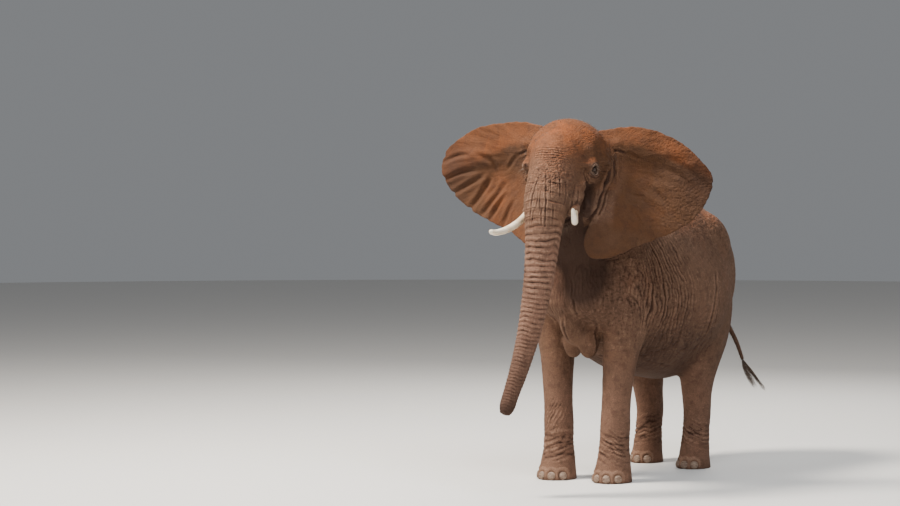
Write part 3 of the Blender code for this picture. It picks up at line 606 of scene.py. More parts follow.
LEFT_EAR = Ear(
    side=Side.LEFT,
    rim=mm((
        (-60, 315), (270, 340), (515, 262), (715, 120), (850, -75), (810, -235), (700, -392), (510, -510),
        (260, -610), (20, -705), (-90, -700), (-145, -600), (-125, -470), (-70, -340),
    )),
    notches=mm((
        (720, -360, 22, 12), (420, -550, 20, 10), (850, -110, 16, 8),
    )),
    folds=mm((
        (((100, 155), (170, 135), (250, 95)), 16, 16), (((140, -170), (210, -200), (300, -215)), 10, 7),
        (((120, -220), (200, -260), (270, -275)), 10, 6), (((500, 110), (640, 20), (800, -130)), 22, 6),
        (((440, 30), (600, -60), (740, -210)), 22, 6), (((340, -120), (460, -250), (580, -420)), 20, 8),
        (((200, -300), (270, -420), (330, -550)), 20, 8),
    )),
)
RIGHT_EAR = Ear(
    side=Side.RIGHT,
    rim=mm((
        (-60, 355), (160, 392), (360, 383), (560, 352), (745, 272), (915, 135), (938, 50), (915, -70),
        (845, -175), (735, -270), (560, -370), (290, -480), (115, -545), (-20, -600), (-100, -590),
        (-130, -490), (-80, -350),
    )),
    notches=mm((
        (925, 120, 15, 14), (915, -60, 14, 13), (830, -190, 14, 14), (660, -310, 18, 17), (480, -410, 16, 14),
    )),
    folds=mm((
        (((460, -60), (550, -190), (660, -330)), 24, 20), (((330, -130), (430, -250), (540, -380)), 23, 19),
        (((310, -210), (380, -300), (450, -420)), 20, 14), (((620, 10), (760, -20), (920, -80)), 20, 15),
        (((660, 130), (780, 120), (920, 70)), 18, 12), (((540, -50), (680, -120), (840, -200)), 22, 16),
        (((200, -220), (270, -350), (320, -470)), 21, 12), (((390, -60), (430, 60), (570, 130)), 24, 12),
        (((120, 150), (200, 100), (280, 20)), 16, 14),
    )),
)


@dataclass(frozen=True)
class Tail:
    """The tail from its root to where the tuft begins."""

    rings: tuple = sized(
        Ring, (0, 1720, 2020, 62, 56, 56), (0, 1860, 1980, 62, 54, 54), (0, 1965, 1880, 56, 46, 46),
        (10, 2020, 1740, 46, 40, 40), (30, 2050, 1500, 36, 32, 32), (95, 2050, 1330, 29, 27, 27),
        (160, 2060, 1206, 24, 23, 23), (235, 2100, 1035, 20, 19, 19), (272, 2145, 880, 17, 16, 16),
    )

    def add_to(self, bm: BMesh) -> None:
        """Add the tail to a mesh."""
        add_loft(bm, self.rings, BODY, sides=20)


@dataclass(frozen=True)
class Eye:
    """An eyeball and the lids round it. u runs across the face, v up and w along the gaze."""

    side: Side
    centre: tuple = (0.283, -0.002, 0.004)
    turn: float = 52.0
    radius: float = 0.0215
    half_width: float = 0.0255
    half_height: float = 0.016
    slant: float = -0.14
    lid: float = 0.0035  # thickness of the lids over the ball
    hollow: float = 0.011  # how far the skin inside the opening lies behind the lids
    reach: float = 0.045  # how far round the ball the skin is drawn to it
    upper_creases: tuple = ((0.023, 0.0024, 0.004), (0.036, 0.0034, 0.0052), (0.05, 0.0042, 0.0044))
    lower_creases: tuple = ((0.023, 0.0024, 0.0034), (0.036, 0.0032, 0.005), (0.051, 0.0042, 0.0056),
                            (0.068, 0.0048, 0.0044))

    @property
    def place(self) -> Matrix:
        """Return the frame at the ball's middle, whose -Y is the gaze."""
        x, y, z = self.centre
        sign = self.side.value
        return HEAD @ Matrix.Translation((sign * x, y, z)) @ Matrix.Rotation(
            math.radians(self.turn) * sign, 4, "Z")

    def gap(self, u: Array, v: Array) -> Array:
        """Return where a point lies in the gap between the lids: 0 in the middle, 1 on their edge."""
        outward = u * self.side.value
        half = self.half_height * np.clip(1 - (u / self.half_width) ** 2, 0, None) ** 0.8 + 1e-5
        return np.abs(v - self.slant * outward) / half

    def shape_lids(self, skin: "Skin") -> None:
        """Draw the skin to the ball, open the lids and carve the creases round them."""
        local = to_frame(skin.points, self.place)
        gaze = np.array(self.place.to_3x3() @ Vector((0, -1, 0)))
        u, v, w = local[:, 0], local[:, 2], -local[:, 1]
        reach = np.hypot(u, v)
        near = (reach < 0.1) & (w > -0.03) & (w < 0.1) & (skin.normals @ gaze > 0.05)
        u, v, w, reach = u[near], v[near], w[near], reach[near]
        outer = self.radius + self.lid
        ball = np.sqrt(outer**2 - np.minimum(reach, 0.8 * outer) ** 2)
        drawn = ease((self.reach - reach) / (self.reach - 0.7 * self.radius))
        raised = w * (1 - drawn) + ball * drawn
        opened = ease((1.02 - self.gap(u, v)) / 0.3) * (np.abs(u) < self.half_width)
        edge = bump((self.gap(u, v) - 1.22) / 0.2) * (np.abs(u) < 1.1 * self.half_width)
        raised += 0.0016 * edge * (1 - opened) - opened * (self.lid + self.hollow)
        crease = np.zeros(len(u))
        for creases, way in ((self.upper_creases, 1), (self.lower_creases, -1)):
            arc = np.hypot(u / 1.12, v)
            share = ease((way * v / (arc + 1e-6) - 0.15) / 0.5)
            for middle, width, depth in creases:
                crease += share * depth * (0.5 * bump((arc - middle + 1.7 * width) / width)
                                           - bump((arc - middle) / width))
        moved = np.zeros(len(skin.points))
        moved[near] = raised - w + crease * (1 - opened)
        skin.points += moved[:, None] * gaze
        skin.cavity[near] += np.clip(-crease / 0.003, 0, 1) * 0.8 + opened
        ring = np.hypot(u / 1.15, v)
        pale = bump((ring - 0.036) / 0.016) * (0.35 + 0.65 * ease((np.abs(v) / (ring + 1e-6) - 0.2) / 0.5))
        skin.tint("lid", pale, near)
        # A dark wet ring round the opening, widened as painted shade of the lids and lashes; the lid edges and
        # the skin inside the opening are wet.
        rim = 0.85 * bump((np.hypot(u / 1.25, v) - 0.02) / 0.009)
        skin.tint("wet", np.maximum(rim, edge * 0.8 + opened), near)
        skin.refresh()

    def build(self) -> Object:
        """Make the eyeball with its clear bulge, and store how far each point is from the pupil."""
        bm = bmesh.new()
        bmesh.ops.create_uvsphere(bm, u_segments=64, v_segments=48, radius=1.0)
        for vert in bm.verts:
            swell = 0.06 * float(bump(np.array(math.acos(min(1.0, max(-1.0, vert.co.z))) / 0.45)))
            vert.co *= 1 + swell
        ball = to_object(f"eyeball_{self.side.label}", bm)
        points = get_points(ball.data)
        away = np.arccos(np.clip(points[:, 2] / np.linalg.norm(points, axis=1), -1, 1))
        store(ball.data, "from_pupil", away.astype(np.float32))
        turn = self.place @ Matrix.Rotation(math.radians(90), 4, "X") @ Matrix.Scale(self.radius / 1.04, 4)
        ball.data.transform(turn)
        return ball


@dataclass(frozen=True)
class Tusk:
    """One tusk, from deep in its sheath to the tip."""

    side: Side
    rings: tuple
    sides: int = 36
    per_span: int = 14

    def build(self) -> Object:
        """Make the tusk with faint lengthwise ridges and a worn tip."""
        bm = bmesh.new()
        add_loft(bm, self.rings, HEAD, self.side.value, 0.0, self.sides, self.per_span)
        tusk = to_object(f"ivory_{self.side.label}", bm)
        points, normals = get_points(tusk.data), get_points(tusk.data, "normal")
        turn = np.tile(np.arange(self.sides), len(points) // self.sides + 1)[: len(points)]
        along = np.repeat(np.arange(len(points) // self.sides + 1), self.sides)[: len(points)]
        ridges = Grain(51)(joined(turn * 0.9, along * 0.05, along * 0.0))
        set_points(tusk.data, points + normals * (0.0005 * ridges)[:, None])
        store(tusk.data, "along", (along / along.max()).astype(np.float32))
        return tusk

    def raise_lip(self, skin: "Skin") -> None:
        """Roll the skin of the sheath up round the tusk, with a groove just outside it."""
        rows = smooth_rows(self.rings, 10)[6:22]
        path = from_frame(rows[:, :3] * (self.side.value, 1, 1), HEAD)
        chosen = skin.near(path.mean(axis=0), 0.16)
        away = np.linalg.norm(skin.points[chosen][:, None] - path[None], axis=2).min(axis=1) - 0.026
        lip = 0.006 * bump((away - 0.01) / 0.009) - 0.005 * bump((away - 0.03) / 0.007)
        skin.push(chosen, lip)


TUSKS = (
    Tusk(Side.LEFT, sized(
        Ring, (163, -150, -225, 25, 25, 25), (206, -240, -335, 27, 27, 27),
        (254, -358, -396, 26.5, 26.5, 26.5), (299, -486, -402, 24, 24, 24), (331, -594, -345, 18, 18, 18),
        (340, -631, -309, 10.5, 10.5, 10.5), (341, -639, -301, 4, 4, 4),
    )),
    Tusk(Side.RIGHT, sized(
        Ring, (163, -150, -225, 26, 26, 26), (192, -250, -350, 29.5, 29.5, 29.5),
        (240, -400, -440, 29, 29, 29), (288, -550, -484, 26, 26, 26), (315, -655, -489, 20.5, 20.5, 20.5),
        (323, -692, -481, 13.5, 13.5, 13.5), (324, -701, -479, 5, 5, 5),
    )),
)


@dataclass(frozen=True)
class Foot:
    """The toenails across the front of one foot and the pads that they grow from."""

    end: End
    side: Side
    forms: BodyForms
    nail: tuple = (0.034, 0.017, 0.032)  # half width, half depth, half height
    height: float = 0.04
    inset: float = 0.006
    lean: float = -14.0

    @property
    def turns(self) -> tuple:
        """Return the nails' places, in degrees from straight ahead."""
        return (-54, -19, 17, 52) if self.end is End.FORE else (-38, 0, 37)

    def places(self) -> list:
        """Return each nail's frame."""
        sole = self.forms.leg(self.end)[-2]
        found = []
        for turn in self.turns:
            angle = math.radians(turn)
            x = sole.x + (sole.side - self.inset) * math.sin(angle)
            y = sole.y + self.forms.step(self.end, self.side) - (sole.under - self.inset) * math.cos(angle)
            sign = self.side.value
            found.append(Matrix.Translation((sign * x, y, self.height))
                         @ Matrix.Rotation(sign * angle, 4, "Z")
                         @ Matrix.Rotation(math.radians(self.lean), 4, "X"))
        return found

    def shape_toes(self, skin: "Skin") -> None:
        """Swell the foot behind each nail and fold the cuticle round it."""
        for place in self.places():
            chosen = skin.near(np.array(place.translation), 0.12)
            local = to_frame(skin.points[chosen], place) / self.nail
            away = np.sqrt(local[:, 0] ** 2 + local[:, 2] ** 2)
            front = ease(-local[:, 1] + 1.2)
            above = ease(local[:, 2] + 1.2)
            swell = 0.006 * bump((away - 1.55) / 0.5) * above
            groove = 0.0055 * bump((away - 1.08) / 0.14)
            skin.push(chosen, (swell - groove) * front)

    def build(self) -> list:
        """Make each nail as a domed shield with a worn, flat lower edge."""
        nails = []
        for number, place in enumerate(self.places(), start=1):
            bm = bmesh.new()
            bmesh.ops.create_uvsphere(bm, u_segments=40, v_segments=28, radius=1.0)
            for vert in bm.verts:
                x, y, z = vert.co
                squared = 1 + 0.16 * (1 - abs(x)) * (z < 0)
                vert.co = (x * (1 + 0.1 * (z < 0) * -z), y, z * squared)
            nail = to_object(f"nail_{self.end.value}_{self.side.label}_{number}", bm)
            nail.data.transform(place @ Matrix.Diagonal((*self.nail, 1.0)))
            points, normals = get_points(nail.data), get_points(nail.data, "normal")
            local = to_frame(points, place)
            zero = local[:, 0] * 0 + number
            growth = Grain(52)(joined(local[:, 2] / 0.006, local[:, 0] / 0.05, zero))
            chips = Grain(53)(local / 0.012)
            points += normals * (0.0006 * growth + 0.0008 * chips)[:, None]
            points[:, 2] = np.maximum(points[:, 2], 0.003)
            set_points(nail.data, points)
            nails.append(nail)
        return nails


# ------------ the skin


def store(mesh: Mesh, name: str, values: Array) -> None:
    """Store a number, or a colour of three numbers, for each vertex."""
    if values.ndim == 1:
        mesh.attributes.new(name, "FLOAT", "POINT").data.foreach_set("value", values.astype(np.float32))
    else:
        colours = joined(values, np.ones(len(values))).astype(np.float32)
        mesh.color_attributes.new(name, "FLOAT_COLOR", "POINT").data.foreach_set("color", colours.ravel())


class Skin:
    """The fused skin's vertices, with tools that carve it, note how deep it is carved, and tint where it is
    stained or has shade painted on it.
    """

    def __init__(self, obj: Object) -> None:
        """Read an object's mesh."""
        self.obj = obj
        self.points = get_points(obj.data)
        self.normals = get_points(obj.data, "normal")
        self.cavity = np.zeros(len(self.points))
        # dark is mostly painted shade, pink also holds the painted light on the chest's lobe, and wet is
        # partly painted shade round the eyes.
        tones = ("dust", "pink", "dark", "lid", "wet", "rust")
        self.tones = {name: np.zeros(len(self.points)) for name in tones}
        self.tree = BVHTree.FromObject(obj, bpy.context.evaluated_depsgraph_get())
        grain = [Grain(seed) for seed in (1, 2, 3)]
        self.wander = np.column_stack([g(self.points / 0.07) for g in grain])
        self.roam = np.column_stack([g(self.points / 0.24 + 3.0) for g in grain])
        self.unevenness = np.clip(0.9 + 0.9 * Grain(4)(self.points / 0.13), 0.15, 1.5)

    def refresh(self) -> None:
        """Write the carved places to the mesh and take its new normals."""
        set_points(self.obj.data, self.points)
        self.normals = get_points(self.obj.data, "normal")

    def near(self, centre: Array, reach: float) -> Array:
        """Return the numbers of the vertices within a reach of a point."""
        return np.flatnonzero(np.all(np.abs(self.points - centre) < reach, axis=1))

    def push(self, chosen: Array, heights: Array) -> None:
        """Move vertices along their normals, and note how deep the carved ones lie."""
        self.points[chosen] += self.normals[chosen] * heights[:, None]
        self.cavity[chosen] += np.clip(-heights / 0.006, -0.5, 1.5)

    def tint(self, name: str, values: Array, chosen: Array | slice = slice(None)) -> None:
        """Raise a tone to at least the given values."""
        self.tones[name][chosen] = np.maximum(self.tones[name][chosen], values)

    def press(self, dents: Iterable[Dent], place: Matrix) -> None:
        """Press round hollows with soft edges, on both sides."""
        for dent in dents:
            for middle in both_sides(dent[:3]):
                centre = from_frame(np.array([middle]), place)[0]
                chosen = self.near(centre, dent.radius)
                away = reach_from(self.points[chosen], centre) / dent.radius
                self.points[chosen] -= self.normals[chosen] * (
                    dent.depth * np.clip(1 - away**2, 0, 1) ** 2)[:, None]

    def carve(self, folds: Iterable[Fold], place: Matrix, sides: Sequence[Side] = tuple(Side),
              uneven: float = 1.0, dark: float = 0.0) -> None:
        """Carve grooves along lines laid on the skin.

        Args:
            folds: the grooves. Their lines need only lie close to the skin.
            place: the frame of their lines.
            sides: the sides of the cow that they are carved on.
            uneven: how much they wander and come and go, 0 to 1.
            dark: how much shade is painted into their bottoms, 0 to 1.
        """
        strength = 1 + uneven * (self.unevenness - 1)
        for fold, side in itertools.product(folds, sides):
            line = np.array(fold.line) * (side.value, 1, 1)
            length = np.linalg.norm(np.diff(line, axis=0), axis=1).sum()
            per_span = max(2, math.ceil(length / (len(line) - 1) / fold.width))
            line = from_frame(smooth_rows(line, per_span), place)
            line = np.array([self.tree.find_nearest(Vector(spot))[0] for spot in line])
            margin = fold.width * 4 + 0.006
            inside = np.all((self.points > line.min(axis=0) - margin)
                            & (self.points < line.max(axis=0) + margin), axis=1)
            chosen = np.flatnonzero(inside)
            spots = self.points[chosen] + self.wander[chosen] * min(0.01, fold.width * 0.8)
            spots += self.roam[chosen] * fold.width * 1.5 * uneven
            away = np.full(len(chosen), np.inf)
            share = np.zeros(len(chosen))
            for number, spot in enumerate(line):
                reach = np.linalg.norm(spots - spot, axis=1)
                closer = reach < away
                away[closer] = reach[closer]
                share[closer] = number / (len(line) - 1)
            fading = np.clip(np.sin(share * math.pi), 0, 1) ** 0.5 * 0.9 + 0.1
            away = away / fold.width
            shape = fold.lip * bump((away - 1.8) / 0.9) - bump(away)
            self.push(chosen, fold.depth * fading * shape * strength[chosen])
            # Painted shade along the bottom of each groove.
            stain = dark * fading * bump(0.85 * away)
            self.tint("dark", stain, chosen)

    def crease(self, chosen: Array, coords: Array, weight: Array, depth: float,
               width: float, seed: int) -> None:
        """Carve a net of wandering creases where noise crosses zero, with puffed skin between.

        Args:
            chosen: the numbers of the vertices that are carved.
            coords: their coordinates, in units of the creases' spacing.
            weight: how strongly each is carved, 0 to 1.
            depth: depth of the creases.
            width: their width as a share of the noise's height.
            seed: picks the noise.
        """
        grain = Grain(seed)
        warp = Grain(seed + 100)(coords * 0.6 + 7.0)
        value = np.abs(grain(coords + 0.35 * warp[:, None]))
        groove = np.clip(1 - value / width, 0, 1) ** 1.5
        puff = np.clip(value / width - 1, 0, 2) * 0.12
        self.push(chosen, depth * weight * (puff - groove))

    def pleat(self, chosen: Array, count: Array, weight: Array, depth: float, seed: int) -> None:
        """Fold the skin into rounded ridges, with a sharp groove wherever count is a whole number.

        Args:
            chosen: the numbers of the vertices that are carved.
            count: how many grooves lie between each and the first.
            weight: how strongly each is carved, 0 to 1.
            depth: depth of the grooves.
            seed: picks the noise by which they come and go.
        """
        count = count + 0.42 * self.wander[chosen, 0] + 0.8 * self.roam[chosen, 1]
        grain = Grain(seed)(joined(np.floor(count) * 0.9, self.points[chosen, 2] / 0.14, count * 0))
        strength = np.clip(0.7 + 0.85 * grain, 0.05, 1.3)
        ridge = np.abs(np.sin(count * math.pi)) ** 0.55
        self.push(chosen, depth * weight * strength * (ridge - 0.82) * 1.2)


@dataclass(frozen=True)
class TrunkFolds:
    """The rings of folds down the trunk."""

    rings: tuple
    spacings: tuple = ((0.0, 0.06), (0.75, 0.058), (0.95, 0.049), (1.2, 0.043), (1.5, 0.037), (1.85, 0.029),
                       (2.3, 0.024))
    depths: tuple = ((0.34, 0.0), (0.56, 0.0022), (0.74, 0.0045), (0.84, 0.009), (1.2, 0.0082), (1.5, 0.007),
                     (1.9, 0.0052), (2.3, 0.0042))

    def coordinates(self, points: Array) -> tuple:
        """Return how far down the trunk each point of the head's frame lies, its turn and its reach."""
        rows = smooth_rows(self.rings, 12)
        path = rows[:, :3]
        walked = walked_along(path)
        tangents = np.gradient(path, axis=0)
        tangents /= np.linalg.norm(tangents, axis=1)[:, None]
        nearest = np.zeros(len(points), dtype=int)
        for start in range(0, len(points), 20000):
            part = points[start : start + 20000]
            nearest[start : start + 20000] = ((part[:, None] - path[None]) ** 2).sum(axis=2).argmin(axis=1)
        offset = points - path[nearest]
        tangent = tangents[nearest]
        ahead = np.einsum("ij,ij->i", offset, tangent)
        offset -= ahead[:, None] * tangent
        across = np.array([1.0, 0, 0]) - tangent * tangent[:, :1]
        across /= np.linalg.norm(across, axis=1)[:, None]
        over = np.cross(across, tangent)
        turn = np.arctan2(np.einsum("ij,ij->i", offset, over), np.einsum("ij,ij->i", offset, across))
        return walked[nearest] + ahead, turn, np.linalg.norm(offset, axis=1)

    def carve(self, skin: Skin) -> None:
        """Carve the rings, with finer ones between them and fine folds along the trunk."""
        local = to_frame(skin.points, HEAD)
        chosen = np.flatnonzero((local[:, 2] < -0.08) & (local[:, 1] < -0.1) & (np.abs(local[:, 0]) < 0.34))
        down, turn, reach = self.coordinates(local[chosen])
        on_trunk = (reach < 0.215) & (down > 0.25)
        chosen, down, turn, reach = chosen[on_trunk], down[on_trunk], turn[on_trunk], reach[on_trunk]
        front = 0.5 - 0.5 * np.sin(turn)
        marks = np.linspace(0, 2.4, 481)
        spacing = np.interp(marks, *zip(*self.spacings))
        count = np.interp(down, marks, np.cumsum(0.005 / spacing))
        depth = np.interp(down, *zip(*self.depths))
        around = joined(np.cos(turn), np.sin(turn))
        drift = Grain(61)(joined(around * 0.9, down * 5.0))
        jitter = Grain(62)(joined(around * 2.6, down * 14.0))
        count = count + 0.5 * drift + 0.12 * jitter + 0.25 * np.cos(turn)
        rounded = np.abs(np.sin(count * math.pi)) ** 0.55
        fades = 0.55 + 0.6 * Grain(63)(joined(around * 1.6, count * 0.9))
        fades = np.clip(fades + 0.3 * front, 0.25, 1.15)
        height = depth * fades * (rounded - 0.85) * 1.25
        half = np.abs(np.sin(count * math.tau + 1.1)) ** 0.6
        between = np.clip(Grain(64)(joined(around * 2.0, count * 0.7)) + 0.35, 0, 1)
        height += depth * 0.35 * between * (half - 0.8)
        skin.push(chosen, height)
        skin.refresh()
        cells = joined(around * (reach / 0.026)[:, None], down / 0.085)
        weight = np.interp(down, (0.3, 0.55, 2.2), (0.0, 1.0, 0.8))
        skin.crease(chosen, cells, weight, 0.0016, 0.16, 65)
        fine = joined(around * (reach / 0.02)[:, None], down / 0.012)
        skin.crease(chosen, fine, weight, 0.0009, 0.22, 66)
        skin.refresh()


@dataclass(frozen=True)
class HideFolds:
    """Folds that are carved along lines: on the head in its own frame, and on the body."""

    head_dents: tuple = sized(
        Dent,
        (240, 20, -150, 70, 20),  # hollow behind the sheath's ridge
        (236, 50, -240, 80, 24),
        (236, -95, -125, 55, -10),  # ridge of the sheath
        (222, -135, -205, 60, -14), (205, -175, -270, 45, -8),
        (395, 225, 215, 60, -13),  # knob at the root of the ear
        (372, 225, 115, 50, -8),
        (275, -70, 98, 80, 20),  # brow
        (258, -102, 70, 62, 15), (265, -20, 165, 80, -12),
        (-196, -672, -1932, 18, 14),  # nostrils
        (-228, -672, -1932, 18, 14),
        (300, 20, -60, 45, -8),  # bag under the eye
    )
    head: tuple = folds(
        # Across the forehead
        (((-40, -285, 172), (40, -275, 176), (115, -235, 160)), 4.5, 3.4),
        (((-30, -300, 152), (50, -290, 156), (125, -250, 142)), 4.5, 4),
        (((-30, -312, 134), (50, -302, 137), (130, -255, 123)), 4.5, 4.4),
        (((-20, -322, 115), (60, -312, 117), (135, -262, 103)), 4.5, 3.8),
        (((-20, -332, 97), (60, -322, 97), (130, -275, 85)), 4.5, 3.2),
        # Down the top of the trunk
        (((30, -410, -30), (33, -412, -64), (50, -456, -158), (62, -489, -260), (63, -512, -361),
          (69, -526, -454)), 7, 7.6, 0.5),
        (((73, -407, -60), (85, -440, -150), (93, -461, -235)), 6, 5.8, 0.5),
        (((125, -350, -40), (137, -375, -120), (146, -402, -215)), 7, 6.4, 0.5),
        (((12, -450, -150), (10, -480, -250), (20, -505, -330)), 6, 5, 0.4),
        (((29, -511, -291), (35, -520, -360), (46, -534, -446)), 6, 5.4, 0.4),
        (((105, -455, -270), (110, -475, -350), (105, -490, -440)), 6, 5, 0.4),
        (((164, -315, -80), (172, -335, -180), (168, -370, -280)), 6.5, 5, 0.4),
        # Across it, from side to side
        (((0, -420, -95), (100, -390, -108), (180, -300, -120)), 6, 3.4),
        (((0, -450, -165), (100, -420, -180), (180, -330, -200)), 6, 3.4),
        (((0, -480, -235), (100, -450, -250), (180, -370, -270)), 6, 3.6),
        (((0, -500, -300), (100, -470, -313), (170, -400, -335)), 6, 3.4),
        (((0, -520, -360), (90, -490, -372), (160, -430, -395)), 6, 4),
        # Cheek
        (((318, 240, -100), (306, 225, -190), (290, 190, -290), (255, 160, -370)), 8, 6, 0.5),
        (((310, 100, -100), (290, 90, -180), (262, 70, -250)), 6, 4, 0.5),
        # Under the eye, into the hollow
        (((262, -110, -35), (268, -60, -85), (285, 0, -112)), 7, 5.5, 0.5),
        (((252, -115, 0), (250, -105, -60), (256, -60, -115)), 6, 4.5, 0.5),
        (((220, -170, -120), (212, -190, -200), (200, -220, -280)), 7, 4.5, 0.4),
        (((205, -200, -120), (195, -240, -210), (185, -270, -300)), 8, 5, 0.4),
        # Behind the eye, to the root of the ear
        (((322, 60, 20), (338, 120, 35), (352, 190, 30)), 6, 4.2),
        (((318, 60, -20), (335, 130, -15), (350, 200, -30)), 6, 4.2),
        (((318, 40, 70), (336, 100, 85), (350, 160, 80)), 6, 3.6),
        (((365, 210, 150), (405, 225, 150), (470, 250, 120)), 12, 8, 0.5),
        (((372, 230, 170), (375, 240, 100), (371, 250, 20), (368, 255, -80)), 11, 9, 0.5),
        (((345, 190, 210), (352, 210, 140), (358, 220, 60), (350, 210, -20)), 6, 5.5, 0.5),
        # Mouth
        (((0, -235, -455), (55, -190, -435), (105, -110, -410), (150, -10, -385),
          (185, 70, -365)), 10, 12, 0.5),
        (((70, -130, -485), (120, -30, -460), (170, 80, -440)), 8, 5, 0.4),
    )
    # Deep ones with painted shade in their bottoms: from the root of the ear to the corner of the mouth, and
    # behind the sheath
    deep_head: tuple = folds(
        (((352, 215, 0), (332, 197, -64), (306, 181, -136), (298, 135, -208), (278, 111, -296),
          (229, 105, -376), (185, 120, -409)), 17, 23, 0.5),
        (((244, -70, -70), (225, -35, -130), (198, 0, -200), (182, 10, -270), (178, 20, -330)), 19, 16, 0.4),
    )
    # The corner of the right eye, which stands out at the head's edge
    right_head: tuple = folds(
        (((262, -118, 62), (264, -112, 38), (262, -112, 16)), 10, 15, 0.6),
        (((250, -128, -15), (252, -122, -60), (246, -130, -100)), 8, 8.5, 0.7),
    )
    body: tuple = folds(
        # Skin hanging from the shoulder down the flank
        (((440, 140, 2080), (490, 250, 1920), (540, 320, 1740), (560, 340, 1500), (530, 330, 1220)), 11, 12),
        (((460, 330, 2020), (530, 420, 1820), (570, 450, 1550), (540, 460, 1250)), 10, 8),
        (((490, 200, 1860), (530, 250, 1700), (550, 260, 1500)), 9, 8),
        # Behind the foreleg
        (((530, 220, 1660), (530, 200, 1500), (490, 170, 1300), (440, 170, 1060)), 13, 17, 0.7),
        (((500, 140, 1500), (480, 120, 1300), (440, 110, 1100)), 8, 5),
        # Short folds across the shoulder and elbow
        (((500, -20, 1760), (520, 60, 1700), (530, 130, 1600)), 10, 5),
        (((480, -50, 1660), (510, 30, 1600), (520, 100, 1500)), 10, 5),
        (((470, -50, 1540), (490, 30, 1480), (500, 100, 1380)), 10, 4.5),
        # Ahead of the thigh
        (((570, 1100, 1700), (600, 1060, 1450), (550, 1020, 1200), (440, 1000, 980)), 16, 11, 0.6),
        (((580, 1000, 1550), (600, 960, 1350), (540, 930, 1100)), 14, 6),
        (((560, 1180, 1620), (580, 1140, 1400), (530, 1120, 1200)), 12, 5),
        # Round the rump and down the back of the thigh
        (((440, 1720, 1620), (480, 1660, 1400), (480, 1620, 1180)), 12, 6),
        (((360, 1820, 1660), (410, 1760, 1420), (430, 1700, 1160)), 12, 6),
        (((260, 1880, 1600), (310, 1840, 1380), (340, 1760, 1120)), 12, 5),
        (((120, 1920, 1860), (160, 1930, 1700), (140, 1900, 1500)), 12, 7),
        # Neck, behind the ears
        (((340, -280, 2420), (400, -160, 2200), (440, -80, 1980)), 14, 8),
        (((330, -200, 2460), (390, -60, 2260), (440, 20, 2060)), 14, 7),
        (((290, -100, 2440), (360, 60, 2300), (420, 140, 2140)), 14, 6),
        # Throat and chest
        (((112, -400, 1700), (119, -390, 1580), (116, -360, 1460), (110, -290, 1370)), 10, 11),
        (((0, -330, 1340), (0, -290, 1240), (0, -220, 1160)), 10, 5, 0.4),
        # Inside of the foreleg, beside the breast
        (((200, -200, 1440), (185, -140, 1320), (165, -80, 1200), (150, -40, 1060)), 12, 7),
        # Under the belly
        (((300, 400, 1000), (340, 620, 920), (340, 860, 880)), 16, 6),
    )


